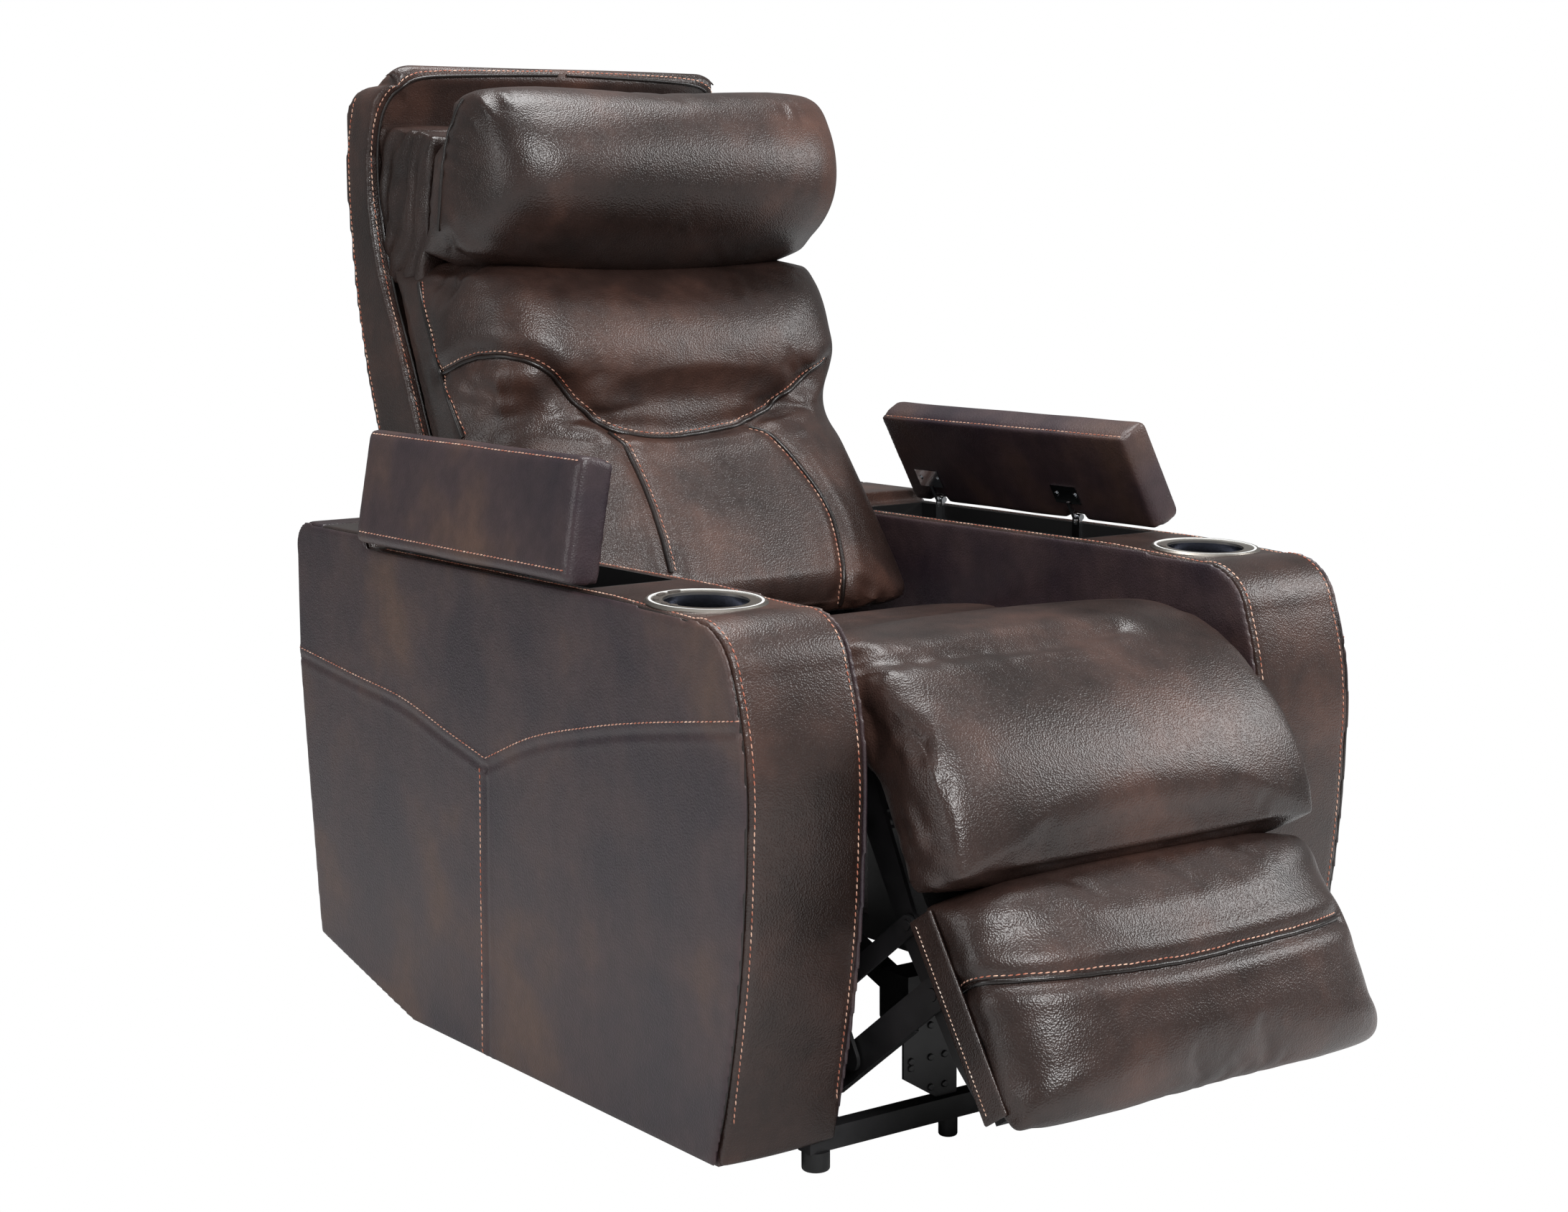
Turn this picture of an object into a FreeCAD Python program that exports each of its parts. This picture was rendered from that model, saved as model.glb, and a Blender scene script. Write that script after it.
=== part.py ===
"""Cinema recliner seat: two fixed arms, a powered footrest, a reclining back and a tilting headrest.

Millimetres, +Z up. X runs across the seat, and the front of the seat faces -Y. While the pieces are drawn,
Y is measured from the front of the arms and Z from the floor. At the end everything is shifted along Y, so
that the origin stands at the middle of the footprint. Left is the -X side.
"""
import FreeCAD, Part
import math
import os

V = FreeCAD.Vector

# Arms
arm_outer_x = 400.0
arm_inner_x = 257.0
arm_bottom_z = 30.0
arm_top_z = 554.0
arm_back_top_z = 574.0
arm_rear_y = 902.0
arm_toe_y = 54.0
arm_nose_radius = 58.0
arm_heel_y = 649.0
arm_side_board = 5.0
arm_band_board = 16.0
arm_floor_board = 18.0
arm_front_depth = 92.0
arm_rear_depth = 60.0
arm_slope_foot = (arm_front_depth, arm_top_z - 6.6)
arm_slope_head = (233.0, arm_top_z)
board_gap = 0.3

# Cup holders
cup_offset = 4.5
cup_x = (arm_inner_x + arm_outer_x) / 2 + cup_offset
cup_y = 155.0
cup_flange_radius = 60.0
cup_opening_radius = 42.0
cup_flange_height = 3.5
cup_wall = 2.0
cup_depth = 74.0
cup_board_hole_radius = 50.0
light_ring_outer = 56.0
light_ring_inner = 53.5
light_ring_height = 1.6
key_thickness = 3.0
key_proud = 0.9
key_clearance = 0.25
key_band_radius = 48.2
key_width = 5.0
oval_key_length = 8.5
long_key_length = 15.0
key_travel = 0.8

# Storage boxes and armrest lids
box_front_y = 290.0
box_rear_y = 708.0
box_inner_x = arm_inner_x + 18.0
box_outer_x = arm_outer_x - 19.0
box_floor_z = 392.0
box_wall = 3.0
lid_front_y = 275.0
lid_rear_y = 720.0
lid_inner_x = arm_inner_x + 1.0
lid_outer_x = arm_outer_x - 16.0
lid_thickness = 42.0
lid_board = 12.0
lid_gap = 2.0
lid_pad_radius = 9.0
lid_axis_x = lid_outer_x - 4.0
lid_axis_z = arm_top_z + 6.0
lid_open_left = 80.0
lid_open_right = 62.0
hinge_front_y = 413.0
hinge_rear_y = 668.0
hinge_plate_length = 44.0
hinge_plate_width = 24.0
hinge_plate_reach = 46.0
hinge_metal = 1.6
hinge_arm_width = 12.0
hinge_knuckle_radius = 3.6
hinge_pin_radius = 1.8
hinge_notch = 30.0
hinge_screw_radius = 3.2
hinge_foot_drop = 34.0

# Base
foot_radius = 14.0
foot_height = 20.0
tube_width = 20.0
tube_height = 23.0
front_tube_y = 60.0
rear_tube_y = 750.0
corner_foot_x = arm_inner_x + 19.0
cross_tube_half = corner_foot_x + foot_radius
middle_foot_x = 110.0
rail_width = 16.0
rail_gap = 1.0
rail_inner_x = arm_inner_x - rail_gap - rail_width
plate_inner_x = rail_inner_x - 0.4
plate_thickness = 3.0
motor_plate_x = 134.0
motor_plate_half = 34.0
motor_plate_height = 86.0
motor_plate_thickness = 3.0
rivet_radius = 3.6
rivet_head = 2.2

# Footrest and its linkage, as points (y, z) at rest
footrest_hinge = (60.0, 418.0)
board_top = (-12.0, 290.0)
board_bottom = (-140.0, 95.0)
crank_end = (105.0, 65.0)
channel_end = (-64.0, 196.0)
front_crank_along = 0.30
rod_offset = 70.0
link_metal = 4.0
link_gap = 2.0
link_plane_x = plate_inner_x - 1.6 - link_metal
crank_width = 26.0
channel_width = 32.0
channel_depth = 10.0
channel_flange_stop = 54.0
rod_width = 20.0
bracket_depth = 24.0
pin_radius = 6.0
pin_clearance = 0.08
open_pin_clearance = 0.5
pin_head = 2.5
torque_tube_radius = 11.0
torque_tube_wall = 2.0
lever_length = 50.0
lever_thickness = 5.0
lever_x = -134.0
yoke_ratio = 0.93
rail_slope_deg = 20.0
footrest_open_deg = 51.0
footrest_closed_deg = 29.5
footrest_half_width = arm_inner_x - 19.0
footrest_board = 18.0
footrest_crown = 8.0

# Seat
seat_half_width = arm_inner_x - 5.0
cushion_bottom_z = 395.0
front_split_y = 78.0
cushion_crease_y = 250.0
seat_rear_y = 505.0
seat_rail_width = 25.0
seat_rail_top_z = 385.0
seat_rail_height = 35.0
seat_rail_front_y = 42.0
seat_rail_rear_y = 572.0
seat_tube_depth = 25.0
hinge_lug_thickness = 6.0
spring_wire_radius = 1.9
spring_count = 5
spring_spacing = 78.0
spring_amplitude = 20.0
spring_waves = 8

# Back
back_hinge = (600.0, 360.0)
back_bracket_x = arm_inner_x - 6.4
back_half_width = back_bracket_x - 0.6
back_cushion_half_width = back_half_width - 4.0
back_corner_radius = 42.0
back_top_z = 1092.0
back_bracket_thickness = 3.0
back_tube = (670.0, 375.0)
back_tube_radius = 8.0
headrest_arm_x = back_half_width - 31.0
headrest_arm_thickness = 3.0
headrest_pin_radius = 4.0
gusset_half_width = headrest_arm_x - 5.0
soft_gap = 0.5
recline_deg = 30.0
headrest_deg = 20.0

# Actuators
motor_radius = 22.0
motor_length = 92.0
gear_box_side = 46.0
actuator_rail = 20.0
actuator_rail_length = 268.0
carriage_length = 46.0
carriage_wall = 6.0
yoke_thickness = 5.0
yoke_clearance = 1.5
back_rod_x = 118.0
back_rod_radius = 9.0
back_tube_outer = 16.0
rod_travel = 44.0
back_rod_ratio = 70.7
inlet_width = 30.0
inlet_height = 24.0
inlet_depth = 22.0

nodes = {}


def add(node, *solids):
    """Put one solid, or a group of separate solids, into a node."""
    nodes[node] = solids[0] if len(solids) == 1 else Part.makeCompound(list(solids))


def along(a, b, t):
    return (a[0] + (b[0] - a[0]) * t, a[1] + (b[1] - a[1]) * t)


def plus(a, b, k=1.0):
    return (a[0] + b[0] * k, a[1] + b[1] * k)


def minus(a, b):
    return (a[0] - b[0], a[1] - b[1])


def length(a):
    return math.hypot(a[0], a[1])


def polar(centre, radius, degrees):
    return (centre[0] + radius * math.cos(math.radians(degrees)), centre[1] + radius * math.sin(math.radians(degrees)))


def wire(x, steps):
    """A closed wire in the plane X = x. A step is (y, z) for a line or (y, z, y, z) for an arc's middle and end."""
    first = steps[0]
    start = V(x, first[0], first[1])
    here = start
    edges = []
    for step in steps[1:]:
        end = V(x, step[-2], step[-1])
        if len(step) == 2:
            edges.append(Part.makeLine(here, end))
        else:
            edges.append(Part.Arc(here, V(x, step[0], step[1]), end).toShape())
        here = end
    if here.distanceToPoint(start) > 1e-6:
        edges.append(Part.makeLine(here, start))
    return Part.Wire(edges)


def slab(steps, x0, x1):
    """A flat plate between two X planes, cut to an outline in Y and Z."""
    return Part.Face(wire(x0, steps)).extrude(V(x1 - x0, 0, 0))


def box(x0, x1, y0, y1, z0, z1):
    return Part.makeBox(x1 - x0, y1 - y0, z1 - z0, V(x0, y0, z0))


def rod_x(point, radius, x0, x1):
    """A round bar along X."""
    return Part.makeCylinder(radius, x1 - x0, V(x0, point[0], point[1]), V(1, 0, 0))


def upright(x, y, z0, z1, radius):
    return Part.makeCylinder(radius, z1 - z0, V(x, y, z0))


def mirrored(shape):
    return shape.mirror(V(0, 0, 0), V(1, 0, 0))


def on_side(side, shape):
    """A shape drawn on the right side, kept there (1) or mirrored to the left (-1)."""
    return shape if side > 0 else mirrored(shape)


def pair(shape):
    return mirrored(shape), shape


def rounded(shape, radius, choose):
    """Fillet the edges that the test chooses."""
    edges = [edge for edge in shape.Edges if choose(edge)]
    return shape.makeFillet(radius, edges)


def bar(a, b, width, x0, x1):
    """A flat link with round ends between two points."""
    way = minus(b, a)
    unit = (way[0] / length(way), way[1] / length(way))
    side = (-unit[1] * width / 2, unit[0] * width / 2)
    back = plus(a, unit, -width / 2)
    tip = plus(b, unit, width / 2)
    steps = [plus(a, side), plus(b, side), tip + minus(b, side), minus(a, side), back + plus(a, side)]
    return slab(steps, x0, x1)


def cushion_sections(half_width, side, crown=0.04):
    """Places across a cushion, each with its fullness: 1 in the middle, drawn in to `side` at both ends."""
    sections = []
    for share in (-1, -0.96, -0.86, -0.66, -0.36, 0, 0.36, 0.66, 0.86, 0.96, 1):
        round_end = math.sqrt(1 - abs(share) ** 6)
        fullness = side + (1 - side) * round_end + crown * (1 - share * share)
        sections.append((share * half_width, fullness))
    return sections


def pillow(section_wire, half_width, side, crown=0.04):
    """A cushion lofted through its section at each of those places."""
    wires = [section_wire(x, fullness) for x, fullness in cushion_sections(half_width, side, crown)]
    return Part.makeLoft(wires, True, False)


def hole(shape, point, radius, x0, x1):
    return shape.cut(rod_x(point, radius, x0 - 1, x1 + 1))


# Base: rails, cross tubes, glides and fixed plates

tube_top = foot_height + tube_height


def base():
    rail = box(rail_inner_x, rail_inner_x + rail_width, front_tube_y + tube_width / 2,
               rear_tube_y - tube_width / 2, foot_height, tube_top)
    tubes = []
    for y in (front_tube_y, rear_tube_y):
        tubes.append(box(-cross_tube_half, cross_tube_half, y - tube_width / 2, y + tube_width / 2,
                         foot_height, tube_top))
    add("base_frame", *tubes, *pair(rail))

    feet = []
    for x in (corner_foot_x, middle_foot_x):
        for y in (front_tube_y, rear_tube_y):
            foot = upright(x, y, 0, foot_height, foot_radius if x == corner_foot_x else foot_radius * 0.7)
            foot = rounded(foot, 3.0, lambda edge: edge.BoundBox.ZMax < 0.01)
            feet.extend(pair(foot))
    add("glide_feet", *feet)


crank_pivot = minus(footrest_hinge, minus(channel_end, crank_end))
front_crank_end = along(crank_end, channel_end, front_crank_along)
front_crank_pivot = plus(crank_pivot, minus(front_crank_end, crank_end))
board_way = minus(board_bottom, board_top)
board_length = length(board_way)
board_unit = (board_way[0] / board_length, board_way[1] / board_length)
board_normal = (board_unit[1], -board_unit[0])
rod_shift = (-board_unit[0] * rod_offset, -board_unit[1] * rod_offset)
rod_rear = plus(crank_end, rod_shift)
rod_front = plus(channel_end, rod_shift)

lever_angle = rail_slope_deg - 90 + (footrest_open_deg - footrest_closed_deg) / 2
lever_end = polar(crank_pivot, lever_length, lever_angle)

crank_x0 = link_plane_x
crank_x1 = crank_x0 + link_metal
channel_x1 = crank_x0 - link_gap
channel_x0 = channel_x1 - link_metal
bracket_x1 = channel_x0 - link_gap
bracket_x0 = bracket_x1 - link_metal
seat_rail_x = bracket_x0 - 1.0 - seat_rail_width


def mechanism_plate():
    """The fixed side plate that carries the crank pivots and the back's hinge."""
    x0 = plate_inner_x
    x1 = plate_inner_x + plate_thickness
    top = seat_rail_top_z
    steps = [(110, tube_top), (rear_tube_y - 110, tube_top), (rear_tube_y - 110, 210),
             (back_hinge[0] + 34, back_hinge[1] - 20),
             (back_hinge[0] + 20, back_hinge[1] + 26, back_hinge[0] - 16, back_hinge[1] + 28),
             (back_hinge[0] - 60, top - 38), (front_crank_pivot[0] + 40, top - 38),
             (front_crank_pivot[0] - 26, front_crank_pivot[1] + 20),
             (front_crank_pivot[0] - 34, front_crank_pivot[1] - 30), (crank_pivot[0] - 30, 190)]
    plate = slab(steps, x0, x1)
    window = slab([(270, 90), (520, 90), (540, 105, 545, 125), (520, 230), (500, 250), (330, 250),
                   (275, 200), (262, 120), (262, 100, 270, 90)], x0 - 1, x1 + 1)
    plate = plate.cut(window)
    pins = []
    for point in (crank_pivot, front_crank_pivot):
        pins.append(rod_x(point, pin_radius, crank_x0 - pin_head, x0))
        pins.append(rod_x(point, pin_radius + 3, crank_x0 - pin_head - 0.5, crank_x0 - 0.5))
    pins.append(rod_x(back_hinge, pin_radius, x1, back_bracket_x + back_bracket_thickness + pin_head))
    for bolt_y in (front_crank_pivot[0] + 60, back_hinge[0] - 70):
        pins.append(rod_x((bolt_y, seat_rail_top_z - seat_rail_height + 12), 8.0, seat_rail_x + seat_rail_width, x0))
    return plate.multiFuse(pins)


def mechanism():
    add("mechanism_plates", *pair(mechanism_plate()))

    crank = bar(crank_end, crank_pivot, crank_width, crank_x0, crank_x1)
    crank = hole(crank, crank_pivot, pin_radius + pin_clearance, crank_x0, crank_x1)
    end_pin = rod_x(crank_end, pin_radius, channel_x0 - pin_head, crank_x0)
    end_head = rod_x(crank_end, pin_radius + 3, channel_x0 - pin_head - 0.5, channel_x0 - 0.5)
    rod_pin = rod_x(rod_rear, pin_radius - 1, channel_x0 - pin_head, crank_x0)
    rod_head = rod_x(rod_rear, pin_radius + 2, channel_x0 - pin_head - 0.5, channel_x0 - 0.5)
    crank = crank.multiFuse([end_pin, end_head, rod_pin, rod_head])
    lug_point = along(crank_pivot, crank_end, 0.16)
    sleeve = rod_x(crank_pivot, torque_tube_radius, -channel_x0, channel_x0)
    sleeve = sleeve.cut(rod_x(crank_pivot, torque_tube_radius - torque_tube_wall, -crank_x1, crank_x1))
    lever = bar(crank_pivot, lever_end, torque_tube_radius * 2 + 6, lever_x - lever_thickness / 2,
                lever_x + lever_thickness / 2)
    lever = lever.cut(rod_x(crank_pivot, torque_tube_radius - 1, lever_x - 20, lever_x + 20))
    lever_pin = rod_x(lever_end, pin_radius, lever_x, lever_x + 26)
    ear = bar(lug_point, crank_pivot, crank_width - 4, channel_x1 - 1.0, crank_x0)
    ear = hole(ear, crank_pivot, pin_radius + 5, channel_x1 - 1.0, crank_x0)
    add("crank_links", *pair(crank.fuse(ear)))
    collar = rod_x(crank_pivot, torque_tube_radius + 4, channel_x0 - 6, channel_x1 - 1.0)
    collar = collar.cut(rod_x(crank_pivot, torque_tube_radius - torque_tube_wall, channel_x0 - 10, channel_x1))
    spine = bar(lug_point, crank_pivot, crank_width - 4, channel_x1 - 5.0, channel_x1 - 1.0)
    spine = hole(spine, crank_pivot, torque_tube_radius, channel_x1 - 5.0, channel_x1 - 1.0)
    add("torque_tube", sleeve.multiFuse([lever, lever_pin, collar, mirrored(collar), spine, mirrored(spine)]))

    front = bar(front_crank_end, front_crank_pivot, crank_width - 4, crank_x0, crank_x1)
    front = hole(front, front_crank_pivot, pin_radius + pin_clearance, crank_x0, crank_x1)
    front_pin = rod_x(front_crank_end, pin_radius, channel_x0 - pin_head, crank_x0)
    front = front.multiFuse([front_pin])
    add("front_cranks", *pair(front))

    channel = bar(crank_end, channel_end, channel_width, channel_x0, channel_x1)
    way = minus(channel_end, crank_end)
    unit = (way[0] / length(way), way[1] / length(way))
    side = (-unit[1], unit[0])
    for sign in (-1, 1):
        a = plus(crank_end, side, sign * (channel_width / 2 - 1.5))
        b = plus(channel_end, side, sign * (channel_width / 2 - 1.5))
        flange = bar(plus(a, unit, 12), plus(b, unit, -channel_flange_stop), 3.0, channel_x1 - channel_depth, channel_x1)
        channel = channel.fuse(flange)
    for point in (crank_end, front_crank_end):
        channel = hole(channel, point, pin_radius + pin_clearance, channel_x0, channel_x1)
    channel = hole(channel, channel_end, pin_radius + open_pin_clearance, channel_x0, channel_x1)
    add("channel_links", *pair(channel))

    rod = bar(rod_rear, rod_front, rod_width, channel_x0, channel_x1)
    rod = hole(rod, rod_rear, pin_radius - 1 + pin_clearance, channel_x0, channel_x1)
    rod = hole(rod, rod_front, pin_radius - 1 + open_pin_clearance, channel_x0, channel_x1)
    add("upper_rods", *pair(rod))


# Footrest: brackets, board, pad and the bridge pad above it

def on_board(s, n):
    """A point s along the board from its top edge and n out from its back face."""
    return (board_top[0] + board_unit[0] * s + board_normal[0] * n,
            board_top[1] + board_unit[1] * s + board_normal[1] * n)


def footrest():
    steps = [on_board(board_length - 12, 0), on_board(30, 0), (footrest_hinge[0] - 16, footrest_hinge[1] - 8),
             (footrest_hinge[0] - 4, footrest_hinge[1] + 15, footrest_hinge[0] + 15, footrest_hinge[1] + 4),
             (footrest_hinge[0] + 12, footrest_hinge[1] - 40), on_board(50, -bracket_depth - 4),
             on_board(board_length - 60, -bracket_depth + 4), on_board(board_length - 12, -8)]
    bracket = slab(steps, bracket_x0, bracket_x1)
    bracket = hole(bracket, footrest_hinge, pin_radius + pin_clearance, bracket_x0, bracket_x1)
    flange = slab([on_board(40, 0), on_board(board_length - 20, 0), on_board(board_length - 20, -3),
                   on_board(40, -3)], bracket_x0 - 22, bracket_x0)
    bracket = bracket.fuse(flange)
    for point, radius in ((channel_end, pin_radius), (rod_front, pin_radius - 1)):
        bracket = bracket.fuse(rod_x(point, radius, bracket_x1 - 1, channel_x1 + 0.8))
    add("footrest_brackets", *pair(bracket))

    board = slab([on_board(0, 0), on_board(0, footrest_board), on_board(board_length + 8, footrest_board),
                  on_board(board_length + 8, 0)], -bracket_x0 + board_gap, bracket_x0 - board_gap)
    add("footrest_board", board)

    def pad_wire(x, k):
        """The pad's section: k is its thickness as a share of the full one."""
        def n(value):
            return footrest_board + soft_gap + (value - footrest_board) * k
        low = footrest_board + soft_gap
        end = 267 - (1 - k) * 14
        return wire(x, [on_board(31, low), on_board(47, n(70)), on_board(54, n(90)) + on_board(90, n(102)),
                        on_board(150, n(108)) + on_board(222, n(100)), on_board(258, n(84)) + on_board(end, n(40)),
                        on_board(end - 14, low)])

    add("footrest_pad", pillow(pad_wire, footrest_half_width, 0.26, footrest_crown / 100))

    def bridge_wire(x, k):
        def out(point, base_point):
            return along(base_point, point, k)
        inner_low = on_board(24, footrest_board + soft_gap)
        core = (20.0, 380.0)
        front_low = on_board(43, 96)
        a = out(front_low, (inner_low[0] + 10, inner_low[1] + 12))
        b = out((-95, 382), core)
        c = out((-40, 448), core)
        d = out((12, 484), core)
        e = (front_split_y - soft_gap, cushion_bottom_z + (503 - cushion_bottom_z) * (0.72 + 0.28 * k))
        return wire(x, [inner_low, a, b + c, d + e, (front_split_y - soft_gap, cushion_bottom_z),
                        (18, cushion_bottom_z - 2), on_board(-3, footrest_board + soft_gap)])

    bridge = pillow(bridge_wire, footrest_half_width + 8, 0.62)
    for x0, x1 in ((-bracket_x1 - 4, -seat_rail_x - 8), (seat_rail_x + 8, bracket_x1 + 4)):
        slot_top = footrest_hinge[1] + 22
        bridge = bridge.cut(slab([(-38, 250), (-38, 285), (26, slot_top), (front_split_y + 5, slot_top),
                                  (front_split_y + 5, 250)], x0, x1))
    add("bridge_pad", bridge)


# Seat frame, springs and cushions

def seat():
    z0 = seat_rail_top_z - seat_rail_height
    rail = box(seat_rail_x, seat_rail_x + seat_rail_width, seat_rail_front_y, seat_rail_rear_y, z0, seat_rail_top_z)
    lug = slab([(footrest_hinge[0] - 14, seat_rail_top_z), (footrest_hinge[0] - 14, footrest_hinge[1]),
                (footrest_hinge[0], footrest_hinge[1] + 14, footrest_hinge[0] + 14, footrest_hinge[1]),
                (footrest_hinge[0] + 14, seat_rail_top_z)],
               bracket_x0 - 1.0 - hinge_lug_thickness, bracket_x0 - 1.0)
    pin = rod_x(footrest_hinge, pin_radius, bracket_x0 - 1.0, bracket_x1 + pin_head)
    rail = rail.fuse(lug).fuse(pin)
    cross = []
    for y in (seat_rail_front_y + 46, seat_rail_rear_y - seat_tube_depth):
        cross.append(box(-seat_rail_x, seat_rail_x, y, y + seat_tube_depth, z0 + 6, seat_rail_top_z))
    add("seat_frame", *cross, *pair(rail))

    springs = []
    y0 = seat_rail_front_y + 46 + seat_tube_depth / 2
    y1 = seat_rail_rear_y - seat_tube_depth / 2
    pitch = (y1 - y0) / (spring_waves + 0.5)
    z = seat_rail_top_z + spring_wire_radius + 0.3
    for index in range(spring_count):
        x = (index - (spring_count - 1) / 2) * spring_spacing
        edges = []
        here = V(x - spring_amplitude, y0, z)
        sign = 1
        for turn in range(int(spring_waves)):
            over = V(x + sign * spring_amplitude, here.y, z)
            edges.append(Part.makeLine(here, over))
            nxt = V(over.x, over.y + pitch, z)
            mid = V(over.x + sign * pitch / 2, over.y + pitch / 2, z)
            edges.append(Part.Arc(over, mid, nxt).toShape())
            here = nxt
            sign = -sign
        edges.append(Part.makeLine(here, V(x + sign * spring_amplitude, here.y, z)))
        path = Part.Wire(edges)
        ring = Part.Wire([Part.makeCircle(spring_wire_radius, V(x - spring_amplitude, y0, z), V(1, 0, 0))])
        springs.append(path.makePipeShell([ring], True, False))
    add("seat_springs", *springs)

    w = seat_half_width

    def rear_wire(x, k):
        top = 444 + 12 * k
        return wire(x, [(cushion_crease_y + soft_gap, cushion_bottom_z), (cushion_crease_y + soft_gap, 440 + 8 * k),
                        (cushion_crease_y + 30, top + 6, 370, top + 14), (450, top + 8, seat_rear_y, 438),
                        (seat_rear_y, cushion_bottom_z)])

    add("seat_rear_cushion", pillow(rear_wire, w, 0.0))

    def front_wire(x, k):
        drop = (1 - k) * 26
        return wire(x, [(front_split_y, cushion_bottom_z), (front_split_y, 503 - drop),
                        (150, 507 - drop, 205, 488 - drop), (238, 472 - drop, cushion_crease_y, 447 - drop * 0.4),
                        (cushion_crease_y, cushion_bottom_z)])

    cushion = pillow(front_wire, w, 0.2)
    for x0, x1 in ((-bracket_x1 - 4, -seat_rail_x - 8), (seat_rail_x + 8, bracket_x1 + 4)):
        cushion = cushion.cut(box(x0, x1, front_split_y - 5, footrest_hinge[0] + 40, 380, footrest_hinge[1] + 34))
    add("seat_front_cushion", cushion)


# Arms: boards and panels around a hollow, with a cup well and a storage box

def arm_outline():
    """The arm seen from the side, with its waterfall front, raised rear top and cut heel."""
    return [(arm_toe_y, arm_bottom_z), (16, 190, 1, 350), (2, 430, 20, 500),
            (44, 537) + arm_slope_foot, arm_slope_head, (lid_rear_y + 7, arm_top_z),
            (lid_rear_y + 12, arm_back_top_z - 6), (860, arm_back_top_z - 6), (892, 560, arm_rear_y - 3, 530),
            (arm_rear_y, 409), (arm_rear_y - 16, 251), (arm_rear_y - 36, 84), (arm_heel_y, arm_bottom_z)]


def arm(side, name):
    outline = arm_outline()
    tube_slots = []
    for y in (front_tube_y, rear_tube_y):
        tube_slots.append(box(arm_inner_x - 1, cross_tube_half + 1, y - tube_width / 2 - board_gap,
                              y + tube_width / 2 + board_gap, 0, tube_top + board_gap))
    outer = slab(outline, arm_outer_x - arm_side_board, arm_outer_x)
    outer = rounded(outer, arm_side_board - 0.8, lambda edge: edge.BoundBox.XMin > arm_outer_x - 0.01)
    inner = slab(outline, arm_inner_x, arm_inner_x + arm_side_board)
    for slot in tube_slots:
        inner = inner.cut(slot)
    add("arm_outer_panel_" + name, on_side(side, outer))
    add("arm_inner_panel_" + name, on_side(side, inner))

    x0 = arm_inner_x + arm_side_board + board_gap
    x1 = arm_outer_x - arm_side_board - board_gap
    face = Part.Face(wire(x0, outline))
    core = face.makeOffset2D(-arm_band_board)
    ring = face.cut(core).extrude(V(x1 - x0, 0, 0))
    split_z = arm_bottom_z + arm_floor_board + board_gap
    front = ring.common(box(x0, x1, -50, arm_front_depth, split_z, 700))
    top = ring.common(box(x0, x1, arm_front_depth + board_gap, arm_rear_y - arm_rear_depth, 400, 700))
    rear = ring.common(box(x0, x1, arm_rear_y - arm_rear_depth + board_gap, arm_rear_y + 50, split_z, 700))
    bottom = Part.Face(wire(x0, outline)).extrude(V(x1 - x0, 0, 0))
    bottom = bottom.common(box(x0, x1, 0, arm_rear_y, arm_bottom_z - 1, split_z - board_gap))
    for slot in tube_slots:
        bottom = bottom.cut(slot)
    well = Part.makeCylinder(cup_board_hole_radius, 60, V(cup_x, cup_y, arm_top_z - 40))
    top = top.cut(well)
    top = top.cut(box(box_inner_x, box_outer_x, box_front_y, box_rear_y, arm_top_z - 60, arm_top_z + 30))
    add("arm_front_board_" + name, on_side(side, front))
    add("arm_top_board_" + name, on_side(side, top))
    return on_side(side, rear), on_side(side, bottom)


def arms():
    rears = []
    bottoms = []
    for side, name in ((-1, "left"), (1, "right")):
        rear, bottom = arm(side, name)
        rears.append(rear)
        bottoms.append(bottom)
    add("arm_rear_boards", *rears)
    add("arm_bottom_boards", *bottoms)


def storage_box(side, name):
    g = board_gap
    shell = box(box_inner_x + g, box_outer_x - g, box_front_y + g, box_rear_y - g, box_floor_z, arm_top_z - 1)
    hollow = box(box_inner_x + g + box_wall, box_outer_x - g - box_wall, box_front_y + g + box_wall,
                 box_rear_y - g - box_wall, box_floor_z + box_wall, arm_top_z + 5)
    add("storage_box_" + name, on_side(side, shell.cut(hollow)))


# Cup holders: flange, light ring, liner and keys, all on the slope of the arm's top

cup_rise = (arm_slope_head[1] - arm_slope_foot[1]) / (arm_slope_head[0] - arm_slope_foot[0])
cup_slope = math.degrees(math.atan(cup_rise))
cup_seat_z = arm_slope_foot[1] + (cup_y - arm_slope_foot[0]) * cup_rise


def key_shape(angle, size_along, grow, z0, z1):
    """A rounded bar on the flange's band, at an angle seen from above, 0 at +X."""
    rest = max(size_along / 2 - key_width / 2, 0.01)
    spread = math.degrees(rest / key_band_radius)
    r = key_width / 2 + grow
    a0 = angle - spread
    a1 = angle + spread
    outer = key_band_radius + r
    inner = key_band_radius - r

    def at(radius, degrees, z):
        return V(radius * math.cos(math.radians(degrees)), radius * math.sin(math.radians(degrees)), z)

    edges = [Part.Arc(at(outer, a0, z0), at(outer, angle, z0), at(outer, a1, z0)).toShape()]
    tip1 = at(key_band_radius, a1 + math.degrees(r / key_band_radius), z0)
    edges.append(Part.Arc(at(outer, a1, z0), tip1, at(inner, a1, z0)).toShape())
    edges.append(Part.Arc(at(inner, a1, z0), at(inner, angle, z0), at(inner, a0, z0)).toShape())
    tip0 = at(key_band_radius, a0 - math.degrees(r / key_band_radius), z0)
    edges.append(Part.Arc(at(inner, a0, z0), tip0, at(outer, a0, z0)).toShape())
    return Part.Face(Part.Wire(edges)).extrude(V(0, 0, z1 - z0))


def place_cup(shape, side):
    """Move a piece drawn about the cup's axis to its place on one arm."""
    copy = shape.copy()
    copy.rotate(V(0, 0, 0), V(1, 0, 0), cup_slope)
    copy.translate(V(side * cup_x, cup_y, cup_seat_z))
    return copy


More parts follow.
